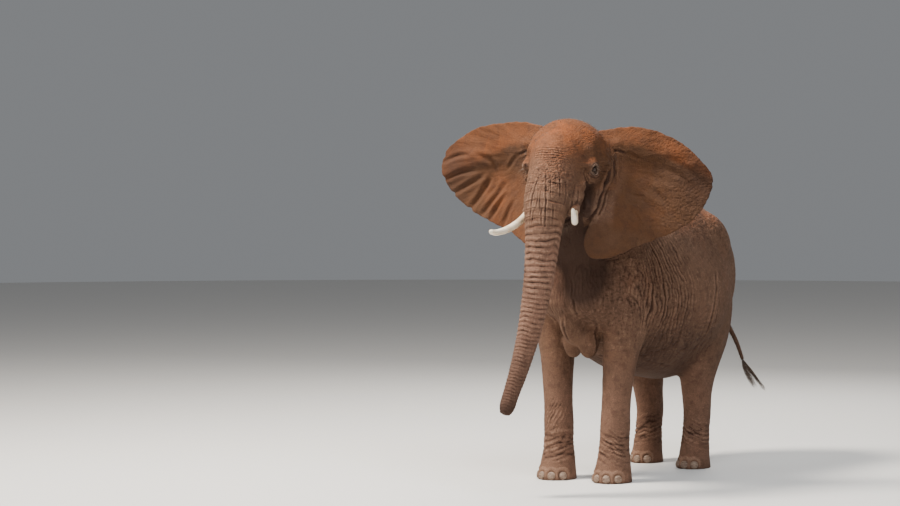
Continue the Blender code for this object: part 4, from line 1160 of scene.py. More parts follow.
@dataclass(frozen=True)
class Hide:
    """The one skin of the cow: fused, thinned, refined and carved."""

    body: BodyForms = BodyForms()
    head: HeadForms = HeadForms()
    ears: tuple = (LEFT_EAR, RIGHT_EAR)
    tail: Tail = Tail()
    folds: HideFolds = HideFolds()
    first_voxel: float = 0.016
    voxel: float = 0.0085
    passes: int = 6
    soft_passes: int = 60
    seam_passes: int = 3  # after ears and tail are fused on
    last_passes: int = 2  # after the faces are split
    soft_fade: float = 0.4
    sole: float = 0.0005  # the height at which the feet are cut flat

    @property
    def replaced(self) -> tuple:
        """Return the names of the solids that the skin stands for."""
        legs = [f"{end.value}{part}_{side.label}" for end in End for part in ("leg", "foot") for side in Side]
        trunk = [f"trunk_{part}" for part in ("upper", "middle", "lower")]
        return ("torso", "neck", "head", "lower_jaw", "tail", "ear_left", "ear_right", *trunk, *legs)

    def fuse(self) -> Object:
        """Fuse all the forms into one closed skin and soften it where muscles run into each other."""
        bm = bmesh.new()
        self.body.add_to(bm)
        self.head.add_to(bm)
        flesh = to_object("hide", bm)
        self.remesh(flesh, self.first_voxel)
        group = flesh.vertex_groups.new(name="soft")
        tenths = np.round(self.softness(get_points(flesh.data)) * 10).astype(int)
        for tenth in range(1, 11):
            group.add(np.flatnonzero(tenths == tenth).tolist(), tenth / 10, "REPLACE")
        self.smooth(flesh, self.passes)
        self.smooth(flesh, self.soft_passes, "soft")
        evaluated(flesh)
        flesh.vertex_groups.clear()
        skin = Skin(flesh)
        for dents, place in ((self.head.dents, HEAD), (self.body.dents, BODY)):
            skin.press(dents, place)
        skin.refresh()
        return flesh

    @staticmethod
    def remesh(obj: Object, voxel: float) -> None:
        """Fuse an object's overlapping parts into even quads."""
        modifier = obj.modifiers.new("fuse", "REMESH")
        modifier.mode = "VOXEL"
        modifier.voxel_size = voxel
        modifier.use_smooth_shade = True
        evaluated(obj)

    @staticmethod
    def smooth(obj: Object, passes: int, group: str = "") -> None:
        """Add a smoothing modifier."""
        modifier = obj.modifiers.new("smooth", "SMOOTH")
        modifier.factor = 0.5
        modifier.iterations = passes
        modifier.vertex_group = group

    def softness(self, points: Array) -> Array:
        """Return how far each point lies in one of the soft places, 0 to 1."""
        weights = np.zeros(len(points))
        for place, spots in ((BODY, self.body.soft), (HEAD, self.head.soft)):
            local = to_frame(points, place)
            for *centre, reach, strength in spots:
                for middle in both_sides(centre):
                    away = reach_from(local, middle)
                    fade = np.clip((reach - away) / (reach * self.soft_fade), 0, 1)
                    weights = np.maximum(weights, fade * strength)
        return weights

    def join_sheets(self, flesh: Object) -> None:
        """Fuse the ears and the tail to the flesh, and cut the feet flat."""
        bm = bmesh.new()
        bm.from_mesh(flesh.data)
        for part in (*self.ears, self.tail):
            part.add_to(bm)
        bmesh.ops.recalc_face_normals(bm, faces=bm.faces)
        bm.to_mesh(flesh.data)
        bm.free()
        self.remesh(flesh, self.voxel)
        self.smooth(flesh, self.seam_passes)
        evaluated(flesh)
        bm = bmesh.new()
        bm.from_mesh(flesh.data)
        bmesh.ops.bisect_plane(bm, geom=[*bm.verts, *bm.edges, *bm.faces], plane_co=(0, 0, self.sole),
                               plane_no=(0, 0, 1), clear_inner=True)
        bmesh.ops.holes_fill(bm, edges=[edge for edge in bm.edges if edge.is_boundary], sides=0)
        bm.to_mesh(flesh.data)
        bm.free()

    def thin_ears(self, flesh: Object) -> list:
        """Thin the ears' sheets and fold them.

        Args:
            flesh: the fused skin.

        Returns:
            For each ear, the numbers of its vertices and their a and b.
        """
        points = get_points(flesh.data)
        found = []
        for ear in self.ears:
            local = to_frame(points, ear.place)
            chosen = np.flatnonzero((local[:, 0] > -0.2) & (local[:, 2] > -0.75) & (local[:, 2] < 0.45)
                                    & (np.abs(local[:, 1]) < 0.35))
            a, off, b = local[chosen].T
            thick = np.maximum(ear.half(a, b), ear.half_least)
            off = off + ear.depth(a, b)
            sheet = (np.abs(off) < thick + 0.008) & (np.hypot(a, 0.6 * b) > 0.1)
            sheet &= (a > 0.06) | (b < -0.4)
            chosen, a, b, off, thick = chosen[sheet], a[sheet], b[sheet], off[sheet], thick[sheet]
            inside = reach_inside(joined(a, b), ear.outline()[::3]) > -0.02
            chosen, a, b, off, thick = (row[inside] for row in (chosen, a, b, off, thick))
            loose = ease((np.hypot(a, 0.6 * b) - 0.14) / 0.16)
            loose = np.maximum(loose, ease((-b - 0.42) / 0.1))
            off *= 1 - loose * (1 - ear.half(a, b) / thick)
            forward = ear.depth(a, b) + loose * ear.waves(a, b)
            points[chosen] = from_frame(joined(a, off - forward, b), ear.place)
            found.append((chosen, a, b))
        set_points(flesh.data, points)
        return found

    def refine(self, flesh: Object, spots: Sequence[tuple]) -> None:
        """Split the skin's faces into four wherever a test of their vertices' places says so.

        Args:
            flesh: the skin.
            spots: (x, y, z, reach) of each ball in which the faces are split, in the head's frame.
        """
        points = to_frame(get_points(flesh.data), HEAD)
        fine = np.zeros(len(points), dtype=bool)
        for *centre, reach in spots:
            fine |= reach_from(points, centre) < reach
        bm = bmesh.new()
        bm.from_mesh(flesh.data)
        chosen = [edge for edge in bm.edges if fine[edge.verts[0].index] and fine[edge.verts[1].index]]
        bmesh.ops.subdivide_edges(bm, edges=chosen, cuts=1, use_grid_fill=True, use_single_edge=True,
                                  smooth=0.0)
        bm.to_mesh(flesh.data)
        bm.free()

    def carve_limbs(self, skin: Skin) -> None:
        """Carve rings and creases round the legs, deepest at the wrists and ankles."""
        for side, end in itertools.product(Side, End):
            rings = np.array(self.body.leg(end))
            height = skin.points[:, 2]
            rows = rings[np.argsort(rings[:, 2])]
            x = side.value * np.interp(height, rows[:, 2], rows[:, 0])
            y = np.interp(height, rows[:, 2], rows[:, 1]) + self.body.step(end, side)
            dx, dy = skin.points[:, 0] - x, skin.points[:, 1] - y
            on_leg = (height < 1.25) & (np.hypot(dx, dy) < 0.36) & (skin.points[:, 0] * side.value > 0.03)
            chosen = np.flatnonzero(on_leg)
            height, dx, dy = height[chosen], dx[chosen], dy[chosen]
            around = joined(dx, dy) / np.hypot(dx, dy)[:, None]
            front = 0.5 - 0.5 * around[:, 1]
            wrist = bump((height - 0.29) / 0.12)
            top = ease((1.25 - height) / 0.3) * ease((height - 0.1) / 0.06)
            slanted = height + 0.05 * around[:, 0] * side.value
            seed = 70 + 7 * side.value + (end is End.HIND)
            rings_at = joined(around * 0.55, slanted / 0.044)
            weight = top * (0.15 + 0.85 * wrist) * (0.45 + 0.55 * front)
            skin.crease(chosen, rings_at, weight, 0.007, 0.2, seed)
            small = joined(around * 1.9, slanted / 0.024)
            skin.crease(chosen, small, top * (0.45 + 0.55 * wrist), 0.0028, 0.2, seed + 20)
            oblique = joined(around * 3.0, (height + 0.3 * np.arctan2(dx, -dy) * side.value) / 0.075)
            upper = bump((height - 0.62) / 0.22)
            skin.crease(chosen, oblique, top * (0.25 + 0.75 * upper), 0.0024, 0.16, seed + 40)
            skin.refresh()
            count = slanted / 0.04 + 0.6 * around[:, 0]
            skin.pleat(chosen, count, wrist * (0.35 + 0.65 * front), 0.0105, seed + 60)
            if end is End.FORE and side is Side.RIGHT:
                arc = np.arctan2(dx, -dy) * 0.125
                knee = bump((height - 0.54) / 0.12) * bump((arc - 0.02) / 0.09)
                skin.pleat(chosen, (height - 1.7 * arc) / 0.05, knee, 0.01, seed + 80)
            skin.refresh()

    def carve_plain(self, skin: Skin) -> None:
        """Carve the creases that cover the rest of the skin, region by region."""
        head = to_frame(skin.points, HEAD)
        x, y, z = skin.points.T
        torso = ease((y + 0.35) / 0.3) * ease((z - 0.72) / 0.35)
        fall = Grain(81)(skin.points / 0.5) * 0.1
        lower = ease((1.75 - z) / 0.7)
        chosen = np.flatnonzero(torso > 0.02)
        p = skin.points[chosen]
        upright = joined(p[:, 0] / 0.16, (p[:, 1] + fall[chosen]) / 0.05, p[:, 2] / 0.24)
        smoother = 1 - 0.7 * ease((p[:, 1] - 0.55) / 0.3) * ease((p[:, 2] - 1.05) / 0.2)
        smoother *= 1 - 0.45 * ease((p[:, 2] - 1.1) / 0.2)
        along_limb = ease((np.abs(p[:, 1] - 0.75) - 0.38) / 0.15) * ease((np.abs(p[:, 0]) - 0.12) / 0.08)
        breasts_at = reach_from(p, (0, -0.1, 1.2), (0.19, 0.2, 0.22))
        calm = (1 - 0.85 * bump(breasts_at**2)) * (1 - 0.62 * along_limb * ease((1.5 - p[:, 2]) / 0.3))
        weight = torso[chosen] * (0.35 + 0.65 * lower[chosen]) * smoother * calm
        skin.crease(chosen, upright, weight, 0.006, 0.15, 82)
        lying = joined(p[:, 0] / 0.1, p[:, 1] / 0.11, (p[:, 2] + fall[chosen]) / 0.04)
        skin.crease(chosen, lying, torso[chosen] * (0.5 + 0.5 * lower[chosen]) * calm, 0.0036, 0.16, 83)
        skin.crease(chosen, p / 0.026, torso[chosen] * (0.3 + 0.7 * calm), 0.0026, 0.22, 84)
        shoulder = blot(p, (0.35, -0.02, 1.62), (0.9, 0.4, 0.55), 2)
        skin.crease(chosen, p / (0.05, 0.055, 0.03), shoulder, 0.0036, 0.2, 79)
        skin.crease(chosen, p / (0.05, 0.032, 0.09), shoulder, 0.0034, 0.2, 78)
        loin = blot(p, (0.3, 1.2, 2.15), (0.6, 0.65, 0.4), 2)
        skin.crease(chosen, p / 0.034, loin, 0.0042, 0.24, 99)
        skin.refresh()
        fan = blot(skin.points, (0, 0.38, 1.6), (9.0, 0.38, 0.5), 2) * (np.abs(x) > 0.25)
        chosen = np.flatnonzero(fan > 0.02)
        p = skin.points[chosen]
        slope = p[:, 1] + 0.42 * np.maximum(p[:, 2] - 1.62, 0) + 0.1 * np.minimum(p[:, 2] - 1.3, 0)
        skin.pleat(chosen, slope / 0.042, fan[chosen], 0.013, 93)
        chest = blot(skin.points, (0.04, -0.3, 1.62), (0.4, 0.32, 0.4), 2)
        chosen = np.flatnonzero(chest > 0.02)
        p = skin.points[chosen]
        skin.pleat(chosen, p[:, 0] / 0.028 + 0.8, chest[chosen], 0.004, 94)
        skin.crease(chosen, p / (0.022, 0.05, 0.09), chest[chosen], 0.0042, 0.2, 90)
        skin.refresh()
        crown = reach_from(head, (0, 0.08, 0.02))
        face = ease((0.6 - crown) / 0.15) * (head[:, 2] > -0.62)
        chosen = np.flatnonzero(face > 0.02)
        p = head[chosen]
        skin.crease(chosen, p / (0.04, 0.06, 0.016), face[chosen], 0.0022, 0.22, 85)
        skin.crease(chosen, p / (0.018, 0.045, 0.05), face[chosen], 0.0018, 0.2, 86)
        skin.crease(chosen, p / 0.011, face[chosen], 0.0012, 0.3, 87)
        bridge = blot(p, (0.03, -0.37, -0.06), (0.17, 0.22, 0.2), 2)
        skin.crease(chosen, p / (0.021, 0.055, 0.04), bridge, 0.0046, 0.2, 97)
        skin.crease(chosen, p / (0.05, 0.08, 0.017), bridge, 0.0034, 0.2, 98)
        skin.refresh()
        neck = bump(reach_from(skin.points, (0.06, -0.22, 2.2), (0.5, 0.4, 0.55)) / 0.9)
        chosen = np.flatnonzero(neck > 0.05)
        p = skin.points[chosen]
        skin.crease(chosen, p / (0.1, 0.045, 0.14), neck[chosen], 0.005, 0.16, 88)
        chosen = np.flatnonzero(z < 1.0)
        skin.crease(chosen, skin.points[chosen] / 0.014, np.ones(len(chosen)), 0.0009, 0.28, 89)
        skin.refresh()

    def carve_ears(self, skin: Skin, found: list) -> None:
        """Carve fine creases over the ears, fanning out from their roots."""
        for (chosen, a, b), ear in zip(found, self.ears):
            turn, reach = ear.fan(a, b)
            fan = joined(turn * 26, reach / 0.12, reach * 0 + ear.side.value)
            weight = ease((reach - 0.16) / 0.15) * ease((a - 0.03) / 0.1)
            skin.crease(chosen, fan, weight, 0.0013, 0.2, 91)
            across = joined(turn * 7, reach / 0.035, reach * 0 + ear.side.value)
            skin.crease(chosen, across, weight, 0.0006, 0.18, 92)
        skin.refresh()

    def mark(self, skin: Skin, found: list) -> None:
        """Note where the skin is dusty, pink or rust-coloured, where it is darker, mostly as painted shade,
        and where the chest's lit lobe is painted paler.
        """
        head = to_frame(skin.points, HEAD)
        x, y, z = skin.points.T
        up = skin.normals[:, 2]
        patches = Grain(95)(skin.points / 0.3) * 0.5 + Grain(96)(skin.points / 0.09) * 0.3
        crown = blot(head, (-0.02, -0.12, 0.27), (0.3, 0.26, 0.16))
        back = ease((up - 0.25) / 0.6) * ease((z - 1.9) / 0.3) * 0.75
        skin.tint("dust", np.clip(crown * 1.15 + back + 0.25 * patches, 0, 1))
        skin.tones["rust"] = blot(head, (0, 0.2, 0.12), (0.62, 0.45, 0.42), 2)
        temples = blot(np.abs(head), (0.4, 0.24, 0.29), (0.2, 0.25, 0.16))
        skin.tint("dust", 0.7 * temples * (z > 2.4))
        for (chosen, a, b), ear in zip(found, self.ears):
            right = ear.side is Side.RIGHT
            top = ease((b - 0.17 + 0.45 * np.clip(a - 0.25, 0, 1)) / 0.07)
            lower = ease((0.02 - b) / 0.15) * ease((0.62 - a) / 0.3) * (0.42 if right else 0.05)
            start = ease((np.hypot(a, 0.6 * b) - 0.04) / 0.16) * np.maximum(ease((a - 0.03) / 0.06),
                                                                            ease((-b - 0.33) / 0.14))
            dust = np.clip(top * (0.45 if right else 0.6) + lower + 0.25 * patches[chosen], 0, 1)
            skin.tones["dust"][chosen] += (dust - skin.tones["dust"][chosen]) * start
            tone = start * np.clip(0.95 + 0.4 * patches[chosen], 0, 1)
            skin.tint("rust", tone, chosen)
        trunk = ease((-0.3 - head[:, 2]) / 0.5) * (head[:, 1] < -0.2) * (np.abs(head[:, 0] + 0.08) < 0.3)
        legs = ease((1.15 - z) / 0.5)
        skin.tones["pink"] = np.clip(trunk + 0.45 * legs + 0.2 * patches, 0, 1) * (1 - skin.tones["rust"])
        # Painted shade: darker on skin that faces down, under the belly, chest and neck.
        under = 0.75 * ease((-up + 0.1) / 0.9) * ease((z - 0.6) / 0.15) * (0.2 + 0.8 * ease((y - 0.1) / 0.3))
        # Painted shade: the throat under the head and jaw, and the chest below it, are painted dark.
        throat = sum(blot(head, spot, 0.27, 2)
                     for spot in ((0, 0.02, -0.56), (0.06, 0.22, -0.8), (0.02, 0.12, -0.66))) * 1.5
        throat += 0.4 * blot(skin.points, (0.15, -0.22, 1.5), (0.26, 0.26, 0.3))
        # Painted light: the lobe at the front of the chest, where sunlight falls under the head, is tinted
        # paler pink and kept free of the painted throat shade.
        lobe = blot(skin.points, (-0.03, -0.42, 1.68), (0.12, 0.2, 0.17))
        skin.tint("pink", lobe)
        throat *= 1 - lobe
        for chosen, *_ in found:
            throat[chosen] *= 0.1
        sole = ease((0.05 - z) / 0.05)
        tail = ease((y - 1.98) / 0.06)
        # Painted shade on the underside of the trunk's tip; the trunk also darkens down towards the tip.
        tip = blot(head, (-0.21, -0.64, -1.93), 0.1)
        tip += 0.95 * ease((-1.0 - head[:, 2]) / 0.8) * trunk
        # Painted shade: the hollow over the right eye, and a patch over the left brow that dims where its knob
        # catches the light.
        corner = blot(head, (-0.258, -0.115, 0.04), (0.03, 0.03, 0.018))
        corner += 0.42 * blot(head, (0.262, -0.1, 0.078), (0.06, 0.06, 0.034))
        # Painted shade in the deep hollow behind the sheath's ridge.
        hollow = sum(0.9 * blot(head, spot, (0.05, 0.07, 0.085))
                     for spot in ((0.228, 0.02, -0.135), (0.205, 0.035, -0.23), (0.2, 0.04, -0.31)))
        edges = sum(0.6 * blot(head, spot, (0.2, 0.3, 0.22))
                    for spot in ((1.07, 0.4, -0.08), (-1.1, 0.4, 0.04)))
        # Mostly painted shade, with darker skin at the soles, the tail and the ears' outer tips.
        painted_shade_and_darkening = under + throat + 0.4 * sole + 0.5 * tail + 0.7 * tip + corner + hollow + edges
        skin.tones["dark"] = np.clip(np.maximum(skin.tones["dark"], painted_shade_and_darkening), 0, 1)

    def build(self, eyes: Sequence[Eye], tusks: Sequence[Tusk], feet: Sequence[Foot]) -> Skin:
        """Make the whole skin.

        Args:
            eyes: the eyes whose lids are shaped.
            tusks: the tusks that stand in their sheaths.
            feet: the feet whose toes are shaped.

        Returns:
            The carved skin.
        """
        flesh = self.fuse()
        LOG.info("fused %d vertices", len(flesh.data.vertices))
        self.join_sheets(flesh)
        self.thin_ears(flesh)
        trunk = [(*ring[:3], 0.24) for ring in smooth_rows(self.head.trunk, 3)]
        ears = [(side.value * a, 0.3, b, 0.34)
                for side in Side for a in (0.45, 0.7, 0.95) for b in (-0.5, -0.2, 0.15)]
        self.refine(flesh, [(0, 0.05, 0.0, 0.52), (0, 0.0, -0.3, 0.36), *trunk, *ears])
        near_eyes = [(side.value * x, y, z) for side in Side for x, y, z in (eyes[0].centre,)]
        self.refine(flesh, [(*place, 0.085) for place in near_eyes])
        self.refine(flesh, [(*place, 0.042) for place in near_eyes])
        self.smooth(flesh, self.last_passes)
        evaluated(flesh)
        LOG.info("refined to %d vertices", len(flesh.data.vertices))
        skin = Skin(flesh)
        found = self.find_ears(skin)
        skin.press(self.folds.head_dents, HEAD)
        skin.refresh()
        skin.carve(self.folds.head, HEAD, uneven=0.35)
        skin.carve(self.folds.deep_head, HEAD, uneven=0.0, dark=0.9)
        skin.carve(self.folds.right_head, HEAD, [Side.RIGHT], 0.0)
        skin.refresh()
        skin.carve(self.folds.body, BODY)
        skin.refresh()
        for eye in eyes:
            eye.shape_lids(skin)
        TrunkFolds(self.head.trunk).carve(skin)
        self.carve_limbs(skin)
        self.carve_plain(skin)
        self.carve_ears(skin, found)
        for tusk in tusks:
            tusk.raise_lip(skin)
        for foot in feet:
            foot.shape_toes(skin)
        skin.points[:, 2] = np.maximum(skin.points[:, 2], 0.0)
        skin.refresh()
        self.mark(skin, found)
        store(skin.obj.data, "cavity", np.clip(skin.cavity * 0.5 + 0.25, 0, 1))
        # The stain colour carries dust, pink and the dark tone, which is mostly painted shade; face carries
        # lid, wet and rust.
        for name, tones in (("stain", ("dust", "pink", "dark")), ("face", ("lid", "wet", "rust"))):
            store(skin.obj.data, name, joined(*(skin.tones[tone] for tone in tones)))
        return skin

    def find_ears(self, skin: Skin) -> list:
        """Return, for each ear, the numbers of its free vertices and their a and b."""
        found = []
        for ear in self.ears:
            local = to_frame(skin.points, ear.place)
            a, off, b = local.T
            sheet = (np.abs(off + ear.depth(a, b)) < 0.06) & (np.hypot(a, 0.6 * b) > 0.04)
            sheet &= (a > 0.03) | ((b < -0.33) & (a > -0.17))
            chosen = np.flatnonzero(sheet & (np.abs(b + 0.1) < 0.7))
            found.append((chosen, a[chosen], b[chosen]))
        return found


# ------------ hairs


class Strands:
    """Many tapered hairs joined into one solid mesh."""

    def __init__(self, name: str, sides: int = 3, spans: int = 4) -> None:
        """Start an empty piece."""
        self.name, self.sides, self.spans = name, sides, spans
        self.paths, self.radii = [], []

    def add(self, path: Array, radius: float) -> None:
        """Add one hair along a path of spans + 1 points."""
        self.paths.append(path)
        self.radii.append(radius)

    def grow(self, root: Array, way: Array, droop: Array, length: float, radius: float) -> None:
        """Add one hair that leaves its root one way and bends by droop towards its tip."""
        t = np.linspace(0, 1, self.spans + 1)[:, None]
        self.add(root + length * (way * t + droop * t * t), radius)

    def build(self) -> Object:
        """Make the mesh. Each hair's map is a small patch at its root's place round the body's long axis."""
        paths, radii = np.array(self.paths), np.array(self.radii)
        count, rows = len(paths), self.spans + 1
        tangents = np.gradient(paths, axis=1)
        tangents /= np.linalg.norm(tangents, axis=2)[..., None] + 1e-12
        helper = np.where(np.abs(tangents[..., 2:]) < 0.9, (0.0, 0.0, 1.0), (1.0, 0.0, 0.0))
        across = np.cross(tangents, helper)
        across /= np.linalg.norm(across, axis=2)[..., None]
        over = np.cross(tangents, across)
        taper = np.linspace(1, 0.12, rows) ** 0.8
        turns = math.tau * np.arange(self.sides) / self.sides
        ring = (across[:, :, None] * np.cos(turns)[None, None, :, None]
                + over[:, :, None] * np.sin(turns)[None, None, :, None])
        places = paths[:, :, None] + ring * (radii[:, None] * taper[None])[:, :, None, None]
        corners = []
        for row, turn in itertools.product(range(self.spans), range(self.sides)):
            after = (turn + 1) % self.sides
            low, high = row * self.sides, (row + 1) * self.sides
            corners.append((low + turn, low + after, high + after, high + turn))
        starts = np.arange(count)[:, None, None] * rows * self.sides
        quads = (np.array(corners)[None] + starts).reshape(-1, 4).tolist()
        top = self.spans * self.sides
        caps = np.array([list(range(self.sides))[::-1], list(range(top, top + self.sides))])
        quads += (caps[None] + starts).reshape(-1, self.sides).tolist()
        mesh = bpy.data.meshes.new(self.name)
        mesh.from_pydata(places.reshape(-1, 3).tolist(), [], quads)
        mesh.update()
        mesh.shade_smooth()
        roots = paths[:, 0]
        spin = np.arctan2(roots[:, 0], roots[:, 2] - 1.5) / math.tau + 0.5
        along = (roots[:, 1] + 1.9) / 4.2
        u = spin[:, None, None] + 0.0015 * np.cos(turns)[None, None, :] + 0 * along[:, None, None]
        v = along[:, None, None] + 0.003 * np.linspace(-0.5, 0.5, rows)[None, :, None]
        u, v = np.broadcast_arrays(u, v)
        loops = np.empty(len(mesh.loops), dtype=np.int32)
        mesh.loops.foreach_get("vertex_index", loops)
        flat = joined(u.ravel(), v.ravel())[loops]
        mesh.uv_layers.new(name="OFBake").data.foreach_set("uv", flat.astype(np.float32).ravel())
        return new_object(self.name, mesh)


@dataclass(frozen=True)
class TailTuft:
    """The two locks of stiff hairs at the tail's end."""

    locks: tuple = (
        sized(
            Ring, (272.5, 2145.5, 885, 10, 9, 9), (290, 2155, 820, 26, 15, 15), (322, 2175, 730, 30, 15, 15),
            (355, 2195, 660, 22, 12, 12), (372, 2200, 625, 14, 8, 8),
        ),
        sized(
            Ring, (275, 2147, 880, 8, 10, 10), (325, 2170, 800, 18, 12, 12), (380, 2205, 710, 18, 12, 12),
            (425, 2235, 640, 13, 9, 9), (447, 2250, 598, 8, 6, 6),
        ),
    )
    hairs: tuple = (130, 90)
    radius: float = 0.00085
    curl: float = 0.012

    def build(self) -> Object:
        """Make the tuft: each hair keeps its place in the lock and strays a little."""
        draw = np.random.default_rng(11)
        strands = Strands("tuft_hair", sides=4, spans=16)
        for rings, hairs in zip(self.locks, self.hairs):
            rows = smooth_rows(rings, 6)
            for _ in range(hairs):
                turn, reach = draw.uniform(0, math.tau), math.sqrt(draw.uniform(0, 1))
                start, end = draw.uniform(0, 0.25), draw.uniform(0.62, 1.0)
                at = np.linspace(start, end, 17) * (len(rows) - 1)
                path = np.column_stack([np.interp(at, np.arange(len(rows)), rows[:, k]) for k in range(5)])
                share = np.linspace(0, 1, 17)
                stray = 1 + 0.75 * draw.normal() * share**2
                wave = self.curl * share * np.sin(share * draw.uniform(3, 9) + turn)
                path[:, 0] += path[:, 3] * reach * math.cos(turn) * stray + wave * draw.normal()
                path[:, 1] += path[:, 4] * reach * math.sin(turn) * stray + wave * draw.normal()
                strands.add(path[:, :3], self.radius * draw.uniform(0.7, 1.2))
        return strands.build()


@dataclass(frozen=True)
class Bristles:
    """The sparse stiff hairs of crown, chin, trunk, ears, tail and back, and the lashes."""

    lashes: int = 34
    lash_length: float = 0.055

    def patches(self, skin: Skin) -> list:
        """Return (name, weight of each vertex, count, length, radius) for each patch of bristles."""
        head = to_frame(skin.points, HEAD)
        x, y, z = skin.points.T
        up = skin.normals[:, 2]

        def ball(centre: Sequence[float], size: Sequence[float]) -> Array:
            """Return a weight that fades out from a centre in the head's frame."""
            return blot(head, centre, size)

        crown = ball((0, 0.05, 0.36), (0.26, 0.3, 0.16)) * (up > 0.1)
        chin = ball((0, -0.1, -0.52), (0.1, 0.16, 0.07))
        snout = (np.abs(head[:, 0] + 0.08) < 0.32) * (head[:, 1] < -0.2) * ease((-head[:, 2] - 0.1) / 0.3)
        ear_hole = ball((0.36, 0.17, 0.1), (0.05, 0.06, 0.1)) + ball((-0.36, 0.17, 0.1), (0.05, 0.06, 0.1))
        spine = ease((up - 0.6) / 0.3) * (y > -0.4) * (z > 2.0)
        tail = ease((y - 2.0) / 0.05) * (z < 1.9)
        return [
            ("crown_hair", crown, 1500, 0.034, 0.00045),
            ("chin_hair", chin, 420, 0.05, 0.00045),
            ("trunk_hair", snout, 1500, 0.018, 0.00035),
            ("ear_hair", ear_hole, 260, 0.06, 0.0004),
            ("back_hair", spine, 1500, 0.028, 0.00045),
            ("tail_hair", tail, 420, 0.03, 0.00045),
        ]

    def build(self, skin: Skin, eyes: Sequence[Eye]) -> list:
        """Make every patch of bristles and the lashes."""
        draw = np.random.default_rng(12)
        pieces = []
        for name, weight, count, length, radius in self.patches(skin):
            strands = Strands(name)
            spread = np.cumsum(weight)
            picked = np.searchsorted(spread, draw.uniform(0, spread[-1], count))
            picked = np.minimum(picked, len(weight) - 1)
            flow = np.array((0, 0.45, -0.25) if name in ("crown_hair", "back_hair") else (0, 0, -0.5))
            for number in picked:
                normal = skin.normals[number]
                stray = draw.normal(size=3) * 0.35
                way = normal + stray * 0.6 + flow
                way /= np.linalg.norm(way)
                root = skin.points[number] - normal * 0.002
                strands.grow(root, way, np.array((0, 0, -0.35)) + stray * 0.3,
                             length * draw.uniform(0.4, 1.15), radius * draw.uniform(0.7, 1.2))
            pieces.append(strands.build())
        pieces.append(self.build_lashes(eyes))
        return pieces

    def build_lashes(self, eyes: Sequence[Eye]) -> Object:
        """Make the long straight lashes of both upper lids, and short ones below."""
        draw = np.random.default_rng(13)
        strands = Strands("lash_hair", sides=4, spans=6)
        for eye in eyes:
            for way, count, share in ((1, self.lashes, 1.0), (-1, self.lashes // 2, 0.45)):
                for place in np.linspace(-0.8, 0.8, count):
                    u = eye.half_width * place + draw.normal() * 0.0006
                    v = eye.slant * u * eye.side.value + way * eye.half_height * (1 - place**2) ** 0.8 * 1.12
                    outer = eye.radius + eye.lid
                    w = math.sqrt(max(outer**2 - u * u - v * v, 0.0)) - 0.001
                    root = from_frame(np.array([(u, -w, v)]), eye.place)[0]
                    aim = Vector((u * 14 + draw.normal() * 0.08, -0.75, way * 0.25 - 0.42 * way * (way > 0)))
                    aim = np.array(eye.place.to_3x3() @ aim.normalized())
                    length = self.lash_length * share * draw.uniform(0.75, 1.1)
                    strands.grow(root, aim, np.array((0, 0, -0.3)), length, 0.0005)
        return strands.build()


# ------------ finishes


class Nodes:
    """Adds and joins the nodes of one tree."""

    def __init__(self, tree: NodeTree) -> None:
        """Take hold of a tree."""
        self.tree = tree

    def add(self, kind: str, inputs: dict | None = None, **settings: object) -> Node:
        """Add a node.

        Args:
            kind: the node's type without its ShaderNode prefix.
            inputs: values, or sockets to join, for its inputs by name or number.
            **settings: its other settings.

        Returns:
            The node.
        """
        node = self.tree.nodes.new(kind if kind.startswith("Node") else f"ShaderNode{kind}")
        for name, value in settings.items():
            setattr(node, name, value)
        return self.feed(node, inputs or {})

    def feed(self, node: Node, inputs: dict) -> Node:
        """Set or join a node's inputs by name or number, and return the node."""
        for name, value in inputs.items():
            if isinstance(value, NodeSocket):
                self.tree.links.new(value, node.inputs[name])
            else:
                node.inputs[name].default_value = value
        return node

    def math(self, operation: str, *values: object, clamp: bool = False) -> NodeSocket:
        """Return the result of a sum on values or sockets."""
        return self.add("Math", dict(enumerate(values)), operation=operation, use_clamp=clamp).outputs[0]

    def spread(self, value: NodeSocket, low: float, high: float,
               to_low: float = 0.0, to_high: float = 1.0) -> NodeSocket:
        """Return a value that is clamped and stretched from one range to another."""
        inputs = {"Value": value, "From Min": low, "From Max": high, "To Min": to_low, "To Max": to_high}
        return self.add("MapRange", inputs, interpolation_type="SMOOTHSTEP").outputs[0]

    def times(self, one: object, two: object) -> NodeSocket:
        """Return the product of two values or sockets."""
        return self.math("MULTIPLY", one, two)

    def mix(self, factor: object, one: object, two: object) -> NodeSocket:
        """Return a mixture of two colours."""
        one, two = (colour if isinstance(colour, NodeSocket) else (*colour, 1.0) for colour in (one, two))
        return self.add("Mix", {0: factor, 6: one, 7: two}, data_type="RGBA").outputs[2]

    def noise(self, vector: NodeSocket, scale: float, detail: float = 4.0,
              distortion: float = 0.0) -> NodeSocket:
        """Return noise from 0 to 1."""
        inputs = {"Vector": vector, "Scale": scale, "Detail": detail, "Distortion": distortion}
        return self.add("TexNoise", inputs).outputs["Fac"]

    def attribute(self, name: str) -> Node:
        """Return the node that reads a stored value."""
        return self.add("Attribute", attribute_name=name)


